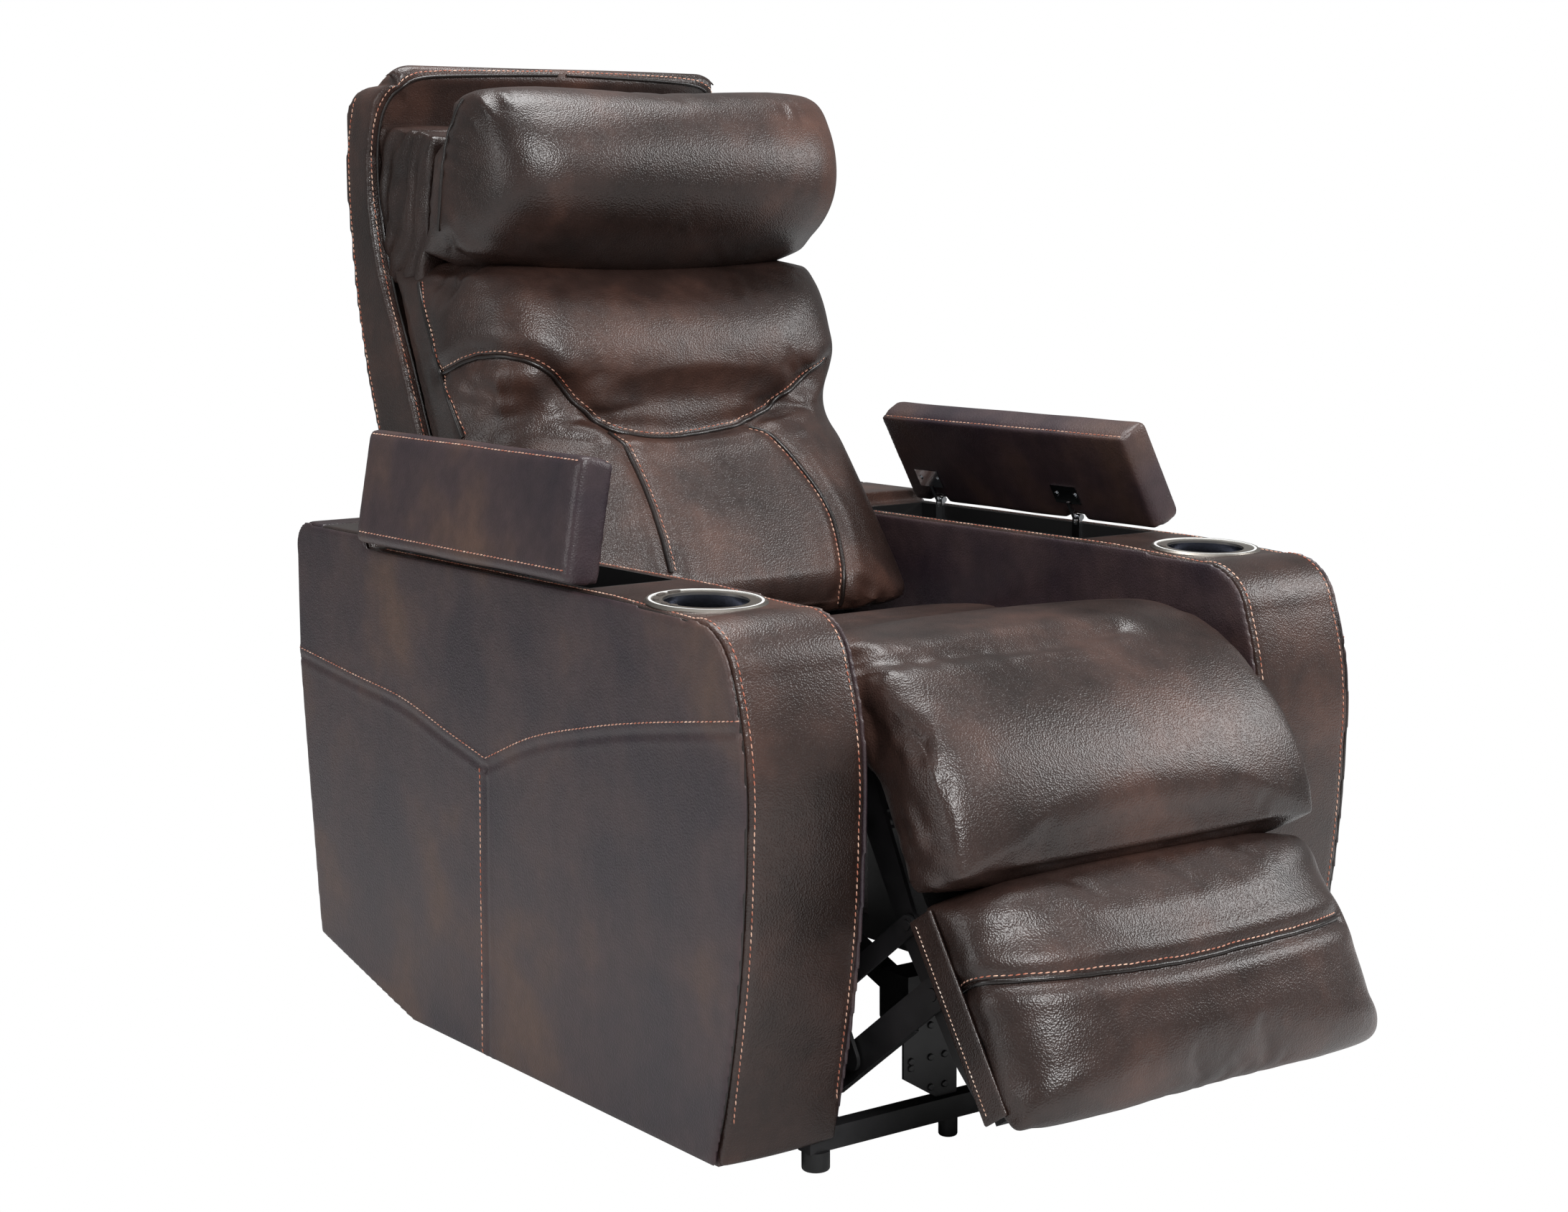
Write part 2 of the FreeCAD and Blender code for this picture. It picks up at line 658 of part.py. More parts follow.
def cup(side, name, keys):
    top = cup_flange_height
    flange = Part.makeCylinder(cup_flange_radius, top)
    flange = flange.makeChamfer(2.2, [edge for edge in flange.Edges if edge.BoundBox.ZMin > top - 0.01])
    flange = flange.cut(Part.makeCylinder(cup_opening_radius, top + 2, V(0, 0, -1)))
    groove = Part.makeCylinder(light_ring_outer + 0.05, light_ring_height, V(0, 0, top - light_ring_height))
    groove = groove.cut(Part.makeCylinder(light_ring_inner - 0.05, light_ring_height + 1, V(0, 0, 0)))
    flange = flange.cut(groove)
    for key_name, angle, size in keys:
        flange = flange.cut(key_shape(angle, size, key_clearance, -1, top + 1))
        key = key_shape(angle, size, 0, top + key_proud - key_thickness, top + key_proud)
        add(key_name, place_cup(key, side))
    add("cup_flange_" + name, place_cup(flange, side))
    ring = Part.makeCylinder(light_ring_outer, light_ring_height, V(0, 0, top - light_ring_height))
    ring = ring.cut(Part.makeCylinder(light_ring_inner, light_ring_height + 2, V(0, 0, top - light_ring_height - 1)))
    add("cup_light_ring_" + name, place_cup(ring, side))
    liner = Part.makeCylinder(cup_opening_radius + cup_wall, cup_depth, V(0, 0, -cup_depth))
    liner = liner.cut(Part.makeCylinder(cup_opening_radius, cup_depth, V(0, 0, -cup_depth + cup_wall)))
    add("cup_liner_" + name, place_cup(liner, side))


# Armrest lids, drawn closed on the right side and then opened

def lid(side, name, opened):
    z0 = arm_top_z + lid_gap
    board = box(lid_inner_x + 2, lid_outer_x - 2, lid_front_y + 2, lid_rear_y - 2, z0, z0 + lid_board)
    pad = box(lid_inner_x, lid_outer_x, lid_front_y, lid_rear_y, z0 + lid_board + board_gap, z0 + lid_thickness)
    pad = rounded(pad, lid_pad_radius, lambda edge: edge.BoundBox.ZMin > z0 + lid_thickness - 0.01)
    hinge_solids = []
    base_solids = []
    for y in (hinge_front_y, hinge_rear_y):
        notch = box(lid_axis_x - 9, lid_outer_x + 5, y - hinge_notch / 2, y + hinge_notch / 2, z0 - 5, lid_axis_z + 8)
        board = board.cut(notch)
        pad = pad.cut(notch)
        hinge_solids.append(lid_hinge(y, z0))
        base_solids.append(hinge_foot(y))
    swing = -opened if side < 0 else opened

    def open_lid(shape):
        copy = on_side(side, shape)
        copy.rotate(V(side * lid_axis_x, 0, lid_axis_z), V(0, 1, 0), swing)
        return copy

    add("lid_board_" + name, open_lid(board))
    add("lid_pad_" + name, open_lid(pad))
    add("lid_hinge_arms_" + name, *[open_lid(solid) for solid in hinge_solids])
    return [on_side(side, solid) for solid in base_solids]


def lid_hinge(y, z0):
    """Plate under the lid's board, with two screws, and the arm that runs to the knuckle."""
    t = hinge_metal
    reach = lid_axis_x - hinge_plate_reach
    plate = box(reach, reach + hinge_plate_width, y - hinge_plate_length / 2, y + hinge_plate_length / 2, z0 - t, z0)
    arm_bar = box(reach + hinge_plate_width - 2, lid_axis_x - 3.0, y - hinge_arm_width / 2 + 3.4,
                  y + hinge_arm_width / 2 - 3.4, z0 - t - 1.4, z0)
    knuckle = Part.makeCylinder(hinge_knuckle_radius, hinge_arm_width - 6.8,
                                V(lid_axis_x, y - hinge_arm_width / 2 + 3.4, lid_axis_z), V(0, 1, 0))
    web = box(lid_axis_x - hinge_knuckle_radius, lid_axis_x - 1, y - hinge_arm_width / 2 + 3.4,
              y + hinge_arm_width / 2 - 3.4, z0 - t - 1.4, lid_axis_z)
    bore = Part.makeCylinder(hinge_pin_radius + pin_clearance, 40, V(lid_axis_x, y - 20, lid_axis_z), V(0, 1, 0))
    screws = []
    for offset in (-hinge_plate_length / 2 + 6, hinge_plate_length / 2 - 6):
        screw = Part.makeCylinder(hinge_screw_radius, 1.5, V(reach + hinge_plate_width / 2, y + offset, z0 - t - 1.5))
        screws.append(screw)
    return plate.multiFuse([arm_bar, knuckle, web] + screws).cut(bore)


def hinge_foot(y):
    """Fixed part: two ears and a pin at the axis, on a strap that is screwed to the storage box's outer wall."""
    wall = box_outer_x - board_gap - box_wall
    strap = box(wall - 2.0, wall, y - hinge_arm_width / 2, y + hinge_arm_width / 2,
                arm_top_z - hinge_foot_drop, arm_top_z - 3)
    solids = []
    for sign in (-1, 1):
        y0 = y + sign * (hinge_arm_width / 2 - 1.4) - 1.4
        ear = Part.makeCylinder(hinge_knuckle_radius, 2.8, V(lid_axis_x, y0, lid_axis_z), V(0, 1, 0))
        leg = box(wall - 2.0, lid_axis_x + 1.0, y0, y0 + 2.8, arm_top_z + 0.4, lid_axis_z)
        riser = box(wall - 2.0, wall, y0, y0 + 2.8, arm_top_z - 6, lid_axis_z)
        solids.extend([ear, leg, riser])
    pin = Part.makeCylinder(hinge_pin_radius, hinge_arm_width, V(lid_axis_x, y - hinge_arm_width / 2, lid_axis_z),
                            V(0, 1, 0))
    return strap.multiFuse(solids + [pin])


def lids():
    feet = []
    for side, name, opened in ((-1, "left", lid_open_left), (1, "right", lid_open_right)):
        feet.extend(lid(side, name, opened))
    add("lid_hinge_feet", *feet)


# Back: shell, brackets, cushion, gusset and headrest

drawn_back_height = 732.0
back_rise = (back_top_z - back_hinge[1]) / drawn_back_height


def up(z):
    """A height on the back, which stretches between its hinge and its top."""
    return back_hinge[1] + (z - back_hinge[1]) * back_rise


def raised(steps):
    return [tuple(up(value) if index % 2 else value for index, value in enumerate(step)) for step in steps]


headrest_hinge = (902.0, up(866.0))
headrest_foot = (882.0, up(853.0))
headrest_nape = (846.0, up(988.0))


def shell_outline(shift=0.0):
    """The shell from the side: thin at the top, deep at the bottom, hollowed behind the headrest."""
    steps = [(965, 1092), (946, 1092, 943, 1078), (976, 1010, 981, 925), (962, 853, 930, 791),
             (876, 668, 822, 540), (757, 372), (893, 352), (904, 400), (945, 545, 981, 673),
             (1016, 790, 1037, 918), (1042, 965, 1037, 1010), (1024, 1062, 990, 1085), (978, 1092, 965, 1092)]
    moved = []
    for step in raised(steps):
        moved.append(tuple(value + shift if index % 2 == 0 else value for index, value in enumerate(step)))
    return moved


def back_shell():
    shell = slab(shell_outline(), -back_half_width, back_half_width)
    low = back_top_z - back_corner_radius
    side = back_half_width - back_corner_radius
    corner = box(side, back_half_width + 1, 800, 1200, low, back_top_z + 1)
    corner = corner.cut(Part.makeCylinder(back_corner_radius, 400, V(side, 800, low), V(0, 1, 0)))
    shell = shell.cut(corner).cut(mirrored(corner))
    add("back_shell", shell)
    return shell


def back_brackets():
    x0 = back_bracket_x
    x1 = x0 + back_bracket_thickness
    h = back_hinge
    steps = [(h[0] - 22, h[1] - 6), (h[0], h[1] - 26, h[0] + 22, h[1] - 8), (back_tube[0] + 30, back_tube[1] - 18),
             (h[0] + 220, h[1] + 60), (h[0] + 270, h[1] + 110), (h[0] + 262, h[1] + 160),
             (h[0] + 200, h[1] + 140), (h[0] + 100, h[1] + 65), (h[0] - 10, h[1] + 34)]
    bracket = slab(steps, x0, x1)
    bracket = hole(bracket, h, pin_radius + pin_clearance, x0, x1)
    tube = rod_x(back_tube, back_tube_radius, -x0, x0)
    add("back_brackets", tube, *pair(bracket))


def back_cushions():
    gap = soft_gap

    def lower_wire(x, k):
        """Lower back and lumbar pad: its front comes in towards the shell as k falls."""
        def out(y, z, base_y):
            return (base_y + (y - base_y) * k, z)
        shrink = (1 - k) * 30
        return wire(x, raised([(930 - gap + 26, 845), out(716, 848 - shrink * 0.4, 930),
                        out(668, 800, 905) + out(655, 738, 880),
                        out(668, 690, 870) + out(640, 655, 850),
                        out(585, 585, 810) + out(500, 464 + shrink * 0.3, 720),
                        (788 - gap, 452), (822 - gap, 540), (876 - gap, 668) + (929.0 - gap, 791)]))

    w = back_cushion_half_width
    add("back_cushion", pillow(lower_wire, w, 0.62, 0.0))

    def head_wire(x, k):
        def out(y, z, base_y):
            return (base_y + (y - base_y) * k, z)
        drop = (1 - k) * 34
        return wire(x, raised([(882, 853), (846, 988), out(800, 1036 - drop * 0.5, 820),
                        out(742, 1069 - drop, 800) + out(682, 1036 - drop, 800),
                        out(650, 962, 830) + out(706, 872 + drop * 0.3, 870), out(728, 856, 880)]))

    add("headrest_cushion", pillow(head_wire, w, 0.55, 0.0))

    way = minus(headrest_nape, headrest_foot)
    clear = (way[1] / length(way) * gap, -way[0] / length(way) * gap)
    low = plus(along(headrest_foot, headrest_nape, 0.02), clear)
    high = plus(along(headrest_foot, headrest_nape, 0.93), clear)
    g = gusset_half_width
    gusset = slab([low, high, (990, high[1] + 11), (990, low[1])], -g, g)
    add("headrest_gusset", gusset.cut(slab(shell_outline(-gap), -g - 1, g + 1)))


def headrest_hinges(shell):
    """Arms on the headrest that turn on pins, carried by brackets on the shell."""
    x0 = headrest_arm_x
    x1 = x0 + headrest_arm_thickness
    x2 = x1 + 1.0
    x3 = x2 + headrest_arm_thickness
    point = headrest_hinge
    eye = headrest_pin_radius * 5
    ahead = along(headrest_foot, headrest_nape, 0.22)
    arm_plate = bar(point, (ahead[0] - eye, ahead[1]), eye, x0, x1)
    front = [headrest_foot, headrest_nape, (headrest_nape[0] - 200, headrest_nape[1]),
             (headrest_foot[0] - 200, headrest_foot[1] - 40), (headrest_foot[0] + 9, headrest_foot[1] - 34)]
    arm_plate = arm_plate.cut(slab(front, x0 - 1, x1 + 1))
    arm_plate = hole(arm_plate, point, headrest_pin_radius + pin_clearance, x0, x1)
    add("headrest_hinge_arms", *pair(arm_plate))
    bracket = bar(point, (shell_outline()[2][2], point[1] + 6), eye, x2, x3).cut(shell)
    bracket = bracket.fuse(rod_x(point, headrest_pin_radius, x0 - pin_head, x2))
    bracket = bracket.fuse(rod_x(point, headrest_pin_radius + 2.5, x0 - pin_head - 1, x0 - 1))
    add("headrest_brackets", *pair(bracket))


# Actuators, motor bracket and power inlet

def actuators():
    z0 = tube_top
    y0 = front_tube_y - motor_plate_thickness / 2
    x0 = -motor_plate_x - motor_plate_half
    x1 = -motor_plate_x + motor_plate_half
    cut = 26.0
    points = [V(x0 + cut * 1.6, y0, z0), V(x1, y0, z0), V(x1, y0, z0 + motor_plate_height),
              V(x0, y0, z0 + motor_plate_height), V(x0, y0, z0 + cut), V(x0 + cut * 1.6, y0, z0)]
    plate = Part.Face(Part.makePolygon(points)).extrude(V(0, motor_plate_thickness, 0))
    rivets = []
    for x in (x0 + 9, x0 + motor_plate_half, x1 - 16):
        for z in (z0 + motor_plate_height - 10, z0 + motor_plate_height / 2, z0 + 12):
            if x < x0 + 20 and z < z0 + 20:
                z = z0 + cut + 10
            rivet = Part.makeCylinder(rivet_radius, rivet_head, V(x, y0 - rivet_head, z), V(0, 1, 0))
            rivets.append(rounded(rivet, 1.2, lambda edge: edge.BoundBox.YMax < y0 - rivet_head + 0.01))
    add("motor_bracket", plate.multiFuse(rivets))

    slope = math.radians(rail_slope_deg)
    way = (math.cos(slope), math.sin(slope))
    normal = (-way[1], way[0])
    half = actuator_rail / 2
    mid_deg = (footrest_open_deg - footrest_closed_deg) / 2
    slot_mid = plus(polar(crank_pivot, lever_length, rail_slope_deg - 90), way, lever_length * yoke_ratio * math.radians(mid_deg))
    rail_level = 40.0
    rail_mid = plus(slot_mid, normal, -rail_level)
    front = plus(rail_mid, way, -(rail_mid[0] - front_tube_y - motor_plate_thickness - gear_box_side - 4) / way[0])

    def block(centre, along0, along1, low, high, xa, xb):
        a = plus(plus(centre, way, along0), normal, low)
        b = plus(plus(centre, way, along1), normal, low)
        c = plus(plus(centre, way, along1), normal, high)
        d = plus(plus(centre, way, along0), normal, high)
        return slab([a, b, c, d], xa, xb)

    xm = -motor_plate_x
    housing = box(xm - 26, xm + 26, y0 + motor_plate_thickness, y0 + motor_plate_thickness + gear_box_side,
                  front[1] - 30, front[1] + 22)
    housing = rounded(housing, 4.0, lambda edge: abs(edge.Curve.Direction.x) > 0.9 and edge.BoundBox.YMin > y0 + 20)
    can = Part.makeCylinder(motor_radius, motor_length, V(xm + 25, y0 + motor_plate_thickness + 24, front[1] - 4), V(1, 0, 0))
    can = rounded(can, 3.0, lambda edge: edge.BoundBox.XMin > xm + 25 + motor_length - 0.01)
    rail = block(front, -2, actuator_rail_length, -half, half, xm - half, xm + half)
    add("footrest_actuator", housing.multiFuse([can, rail]))

    g = 0.3
    w = carriage_wall
    body = block(rail_mid, -carriage_length / 2, carriage_length / 2, -half - w, half + w, xm - half - w, xm + half + w)
    body = body.cut(block(rail_mid, -carriage_length, carriage_length, -half - g, half + g, xm - half - g, xm + half + g))
    sagitta = lever_length * (1 - math.cos(math.radians((footrest_open_deg + footrest_closed_deg) / 2)))
    pin_slot = pin_radius + yoke_clearance
    yoke_x0 = lever_x + lever_thickness / 2 + 3.0
    top = rail_level + sagitta + pin_slot + 8
    yoke = block(rail_mid, -pin_slot - 8, pin_slot + 8, half + w - 1, top, yoke_x0, yoke_x0 + yoke_thickness)
    slot = block(rail_mid, -pin_slot, pin_slot, rail_level - pin_slot - 1, rail_level + sagitta + pin_slot,
                 yoke_x0 - 1, yoke_x0 + yoke_thickness + 1)
    add("footrest_carriage", body.fuse(yoke).cut(slot))

    x = back_rod_x
    y = back_tube[0]
    low = tube_top + 34
    top = back_tube[1] - rod_travel - back_tube_outer - 14
    tube = upright(x, y, low + 40, top, back_tube_outer)
    bore = upright(x, y, low + 44, top + 1, back_rod_radius + 0.3)
    box2 = box(x - 24, x + 24, y - 24, y + 24, low, low + 52)
    can2 = Part.makeCylinder(motor_radius - 2, motor_length - 8, V(x, y + 20, low + 26), V(0, 1, 0))
    can2 = can2.common(box(x - 40, x + 40, y, rear_tube_y + 80, low, low + 60))
    arm_plate = box(x - 20, x + 20, y - 20, rear_tube_y + tube_width / 2, tube_top, tube_top + 4)
    post = box(x - 20, x + 20, y - 20, y - 16, tube_top, low + 10)
    post2 = box(x - 20, x + 20, rear_tube_y - 12, rear_tube_y - 8, tube_top, low + 10)
    add("back_actuator", box2.multiFuse([tube, can2, arm_plate, post, post2]).cut(bore))
    rod = upright(x, y, top - rod_travel - 24, back_tube[1] - back_tube_radius - 6, back_rod_radius)
    eye = rod_x(back_tube, back_tube_radius + 12, x - 8, x + 8)
    eye = eye.cut(rod_x(back_tube, back_tube_radius + 3.2, x - 9, x + 9))
    add("back_rod", rod.fuse(eye))

    inlet = box(-back_rod_x - inlet_width / 2, -back_rod_x + inlet_width / 2, rear_tube_y - inlet_depth / 2 + 4,
                rear_tube_y + inlet_depth / 2 + 4, tube_top, tube_top + inlet_height)
    socket = Part.makeCylinder(4.2, 14, V(-back_rod_x, rear_tube_y + inlet_depth / 2 + 5, tube_top + inlet_height / 2),
                               V(0, -1, 0))
    add("power_inlet", inlet.cut(socket))


LEFT_KEYS = [("left_oval_key_front", 196, oval_key_length), ("left_oval_key_rear", 180, oval_key_length),
             ("left_long_key_1", 148, long_key_length), ("left_long_key_2", 122, long_key_length),
             ("left_long_key_3", 96, long_key_length)]
RIGHT_KEYS = [("right_long_key", 150, long_key_length)]


def build():
    base()
    mechanism()
    footrest()
    seat()
    arms()
    for side, name, keys in ((-1, "left", LEFT_KEYS), (1, "right", RIGHT_KEYS)):
        storage_box(side, name)
        cup(side, name, keys)
    lids()
    shell = back_shell()
    back_brackets()
    back_cushions()
    headrest_hinges(shell)
    actuators()


def middle_y():
    """Y of the middle of the footprint, which becomes the origin."""
    low = min(shape.BoundBox.YMin for shape in nodes.values())
    high = max(shape.BoundBox.YMax for shape in nodes.values())
    return (low + high) / 2


build()
origin_y = middle_y()
os.makedirs("parts", exist_ok=True)
for node, shape in nodes.items():
    shape.translate(V(0, -origin_y, 0))
    shape.exportStep("parts/" + node + ".step")
print("origin_y", round(origin_y, 3), "nodes", len(nodes))
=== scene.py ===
"""Looks of a cinema recliner seat: leather covers with seams and stitches, plated cup rims, black steel below.

Sizes are in millimetres, in the drawing frame of the part's source: X across, Y from the front of the arms and
Z from the floor. at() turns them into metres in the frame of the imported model. Seams and folds that the
photograph shows are written as its pixels, and seen_on() casts them from the camera onto the skin they lie on.
"""
import math
import bmesh
import bpy
import numpy as np
from mathutils import Matrix, Vector
from mathutils.bvhtree import BVHTree


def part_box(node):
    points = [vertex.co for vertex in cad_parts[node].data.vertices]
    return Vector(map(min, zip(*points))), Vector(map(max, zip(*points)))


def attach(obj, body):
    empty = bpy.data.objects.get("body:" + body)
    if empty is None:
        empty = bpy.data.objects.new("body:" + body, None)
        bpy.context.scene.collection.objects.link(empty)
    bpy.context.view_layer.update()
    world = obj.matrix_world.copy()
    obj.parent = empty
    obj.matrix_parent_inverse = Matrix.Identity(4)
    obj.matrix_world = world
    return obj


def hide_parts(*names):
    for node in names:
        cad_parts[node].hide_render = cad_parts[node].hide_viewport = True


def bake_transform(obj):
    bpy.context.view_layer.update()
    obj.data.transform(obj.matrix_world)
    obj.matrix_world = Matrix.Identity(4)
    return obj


MM = 0.001
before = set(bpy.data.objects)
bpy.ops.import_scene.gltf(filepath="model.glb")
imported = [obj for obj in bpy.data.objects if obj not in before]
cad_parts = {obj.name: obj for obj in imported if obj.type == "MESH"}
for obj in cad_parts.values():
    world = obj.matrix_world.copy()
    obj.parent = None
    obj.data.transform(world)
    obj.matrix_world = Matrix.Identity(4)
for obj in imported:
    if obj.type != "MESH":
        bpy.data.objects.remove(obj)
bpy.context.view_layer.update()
FRONT_TUBE_FACE = 50.0
ARM_FRONT_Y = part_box("base_frame")[0].y - FRONT_TUBE_FACE * MM

# Sizes that the covers share with the solids
ARM_OUTER = 400.0
CUSHION_HALF = 246.0
LID_AXIS = (380.0, 560.0)
LID_OPEN = {"left": 80.0, "right": 62.0}

# The footrest board's upper edge in Y and Z, the way down along the board, and the way out of its face
BOARD_TOP = (-12.0, 290.0)
BOARD_WAY = (-0.549, -0.836)
BOARD_OUT = (-0.836, 0.549)


def at(x, y, z):
    return Vector((x * MM, y * MM + ARM_FRONT_Y, z * MM))


def drawn(co):
    """Back from metres in the model's frame to millimetres in the drawing frame, for arrays of points."""
    return (co - np.array([0, ARM_FRONT_Y, 0])) / MM


# Camera, as solved from the photograph

PHOTO_WIDTH = 2184.0
PHOTO_HEIGHT = 1688.0
FOCAL_PIXELS = 3779.5
SENSOR = 36.0
CAMERA_PLACE = at(-1787.54, -1966.39, 920.11)
CAMERA_AZIMUTH = math.radians(-36.094)
CAMERA_RISE = math.radians(8.270)
CAMERA_ROLL = math.radians(-0.335)


def camera_axes():
    level = math.cos(CAMERA_RISE)
    back = Vector((math.sin(CAMERA_AZIMUTH) * level, -math.cos(CAMERA_AZIMUTH) * level, math.sin(CAMERA_RISE)))
    right = (-back).cross(Vector((0, 0, 1))).normalized()
    up = right.cross(-back)
    turned_right = right * math.cos(CAMERA_ROLL) + up * math.sin(CAMERA_ROLL)
    turned_up = up * math.cos(CAMERA_ROLL) - right * math.sin(CAMERA_ROLL)
    return turned_right, turned_up, back


def make_camera():
    right, up, back = camera_axes()
    data = bpy.data.cameras.new("camera")
    data.sensor_width = SENSOR
    data.lens = FOCAL_PIXELS / PHOTO_WIDTH * SENSOR
    data.clip_end = 60
    camera = bpy.data.objects.new("camera", data)
    bpy.context.scene.collection.objects.link(camera)
    turn = Matrix((right, up, back)).transposed().to_4x4()
    camera.matrix_world = Matrix.Translation(CAMERA_PLACE) @ turn
    bpy.context.scene.camera = camera


def sight(pixel):
    """Direction from the camera through a pixel of the 2184 by 1688 photograph."""
    right, up, back = camera_axes()
    across = (pixel[0] - PHOTO_WIDTH / 2) / FOCAL_PIXELS
    rise = (PHOTO_HEIGHT / 2 - pixel[1]) / FOCAL_PIXELS
    return (right * across + up * rise - back).normalized()


# Materials

def linear(code):
    """A colour written as sRGB hex, as linear light."""
    parts = [int(code[i:i + 2], 16) / 255 for i in (1, 3, 5)]
    return tuple([p / 12.92 if p <= 0.04045 else ((p + 0.055) / 1.055) ** 2.4 for p in parts] + [1.0])


def add_node(tree, kind, settings=None, **links):
    """Adds a node; a link is a socket or a value, with _ for spaces and a last digit to pick a twin socket."""
    node = tree.nodes.new(kind)
    for key, value in (settings or {}).items():
        setattr(node, key, value)
    for key, value in links.items():
        name = key.replace("_", " ")
        socket = node.inputs[int(name[1:])] if name[0] == "i" and name[1:].isdigit() else node.inputs[name]
        if isinstance(value, bpy.types.NodeSocket):
            tree.links.new(value, socket)
        else:
            socket.default_value = value
    return node


def new_material(name):
    material = bpy.data.materials.new(name)
    material.use_nodes = True
    material.node_tree.nodes.clear()
    return material, material.node_tree


def finish_material(tree, shader):
    add_node(tree, "ShaderNodeOutputMaterial", Surface=shader.outputs[0])


def ramp(tree, source, stops):
    node = add_node(tree, "ShaderNodeValToRGB", Fac=source)
    elements = node.color_ramp.elements
    while len(elements) < len(stops):
        elements.new(0.5)
    for element, (place, colour) in zip(elements, stops):
        element.position = place
        element.color = colour
    return node


def grey(value):
    return (value, value, value, 1.0)


def scale_for(size_mm):
    """Scale of a pattern whose features are so many millimetres wide."""
    return 1000.0 / size_mm


def leather(name, dark, mid, warm, roughness, pebble_mm, relief_mm):
    """Corrected-grain leather, embossed with pebbles and wiped with a darker stain: mottled, semi-gloss."""
    material, tree = new_material(name)
    place = add_node(tree, "ShaderNodeTexCoord").outputs["Object"]
    broad = add_node(tree, "ShaderNodeTexNoise", Vector=place, Scale=scale_for(154.0), Detail=3.0,
                     Roughness=0.55)
    stain = ramp(tree, broad.outputs["Fac"], [(0.34, linear(dark)), (0.52, linear(mid)), (0.70, linear(warm))])
    fine = add_node(tree, "ShaderNodeTexNoise", Vector=place, Scale=scale_for(16.7), Detail=4.0, Roughness=0.6)
    fleck = ramp(tree, fine.outputs["Fac"], [(0.35, grey(0.86)), (0.65, grey(1.12))])
    tint = add_node(tree, "ShaderNodeMix", {"data_type": "RGBA", "blend_type": "MULTIPLY"}, i0=1.0,
                    i6=stain.outputs["Color"], i7=fleck.outputs["Color"])
    cells = add_node(tree, "ShaderNodeTexVoronoi", {"feature": "SMOOTH_F1"}, Vector=place,
                     Scale=scale_for(pebble_mm), Randomness=1.0, Smoothness=0.6)
    creases = add_node(tree, "ShaderNodeTexNoise", Vector=place, Scale=scale_for(2.0 * pebble_mm), Detail=3.0,
                       Roughness=0.65)
    grain = add_node(tree, "ShaderNodeMath", {"operation": "MULTIPLY_ADD"}, i0=creases.outputs["Fac"], i1=0.6,
                     i2=cells.outputs["Distance"])
    bump = add_node(tree, "ShaderNodeBump", Strength=0.75, Distance=relief_mm * MM, Height=grain.outputs[0])
    polish = ramp(tree, broad.outputs["Fac"], [(0.3, grey(roughness - 0.03)), (0.7, grey(roughness + 0.05))])
    shader = add_node(tree, "ShaderNodeBsdfPrincipled", Base_Color=tint.outputs[2],
                      Roughness=polish.outputs["Color"], Normal=bump.outputs["Normal"], Coat_Weight=0.0)
    shader.inputs["Specular IOR Level"].default_value = 0.5
    finish_material(tree, shader)
    return material


def thread(name, rust, cream):
    """Bonded polyester thread in rust, paler where the light stain of the edge coat took: a slight sheen."""
    material, tree = new_material(name)
    place = add_node(tree, "ShaderNodeTexCoord").outputs["Object"]
    patch = add_node(tree, "ShaderNodeTexNoise", Vector=place, Scale=scale_for(14.3), Detail=2.0)
    colour = ramp(tree, patch.outputs["Fac"], [(0.42, linear(rust)), (0.66, linear(cream))])
    shader = add_node(tree, "ShaderNodeBsdfPrincipled", Base_Color=colour.outputs["Color"], Roughness=0.55,
                      Sheen_Weight=0.3)
    finish_material(tree, shader)
    return material


def coated_steel(name, colour, roughness):
    """Powder-coated steel: black, slightly orange-peeled, with a dull shine."""
    material, tree = new_material(name)
    place = add_node(tree, "ShaderNodeTexCoord").outputs["Object"]
    peel = add_node(tree, "ShaderNodeTexNoise", Vector=place, Scale=scale_for(1.43), Detail=2.0)
    dust = add_node(tree, "ShaderNodeTexNoise", Vector=place, Scale=scale_for(71.4), Detail=4.0)
    tone = ramp(tree, dust.outputs["Fac"], [(0.4, linear(colour)), (0.75, linear("#242325"))])
    bump = add_node(tree, "ShaderNodeBump", Strength=0.25, Distance=0.15 * MM, Height=peel.outputs["Fac"])
    shader = add_node(tree, "ShaderNodeBsdfPrincipled", Base_Color=tone.outputs["Color"], Roughness=roughness,
                      Normal=bump.outputs["Normal"])
    finish_material(tree, shader)
    return material


def plated(name, colour, roughness, scratch_mm=(1.4, 1.4, 1.4)):
    """Plated metal. Scratches longer one way than the others make it brushed, with stretched highlights."""
    material, tree = new_material(name)
    place = add_node(tree, "ShaderNodeTexCoord").outputs["Object"]
    stretch = add_node(tree, "ShaderNodeMapping", Vector=place, Scale=[scale_for(size) for size in scratch_mm])
    scratch = add_node(tree, "ShaderNodeTexNoise", Vector=stretch.outputs[0], Scale=1.0, Detail=3.0)
    wear = ramp(tree, scratch.outputs["Fac"], [(0.3, grey(roughness * 0.8)), (0.7, grey(roughness * 1.25))])
    bump = add_node(tree, "ShaderNodeBump", Strength=0.08, Distance=0.05 * MM, Height=scratch.outputs["Fac"])
    shader = add_node(tree, "ShaderNodeBsdfPrincipled", Base_Color=linear(colour), Metallic=1.0,
                      Roughness=wear.outputs["Color"], Normal=bump.outputs["Normal"])
    finish_material(tree, shader)
    return material


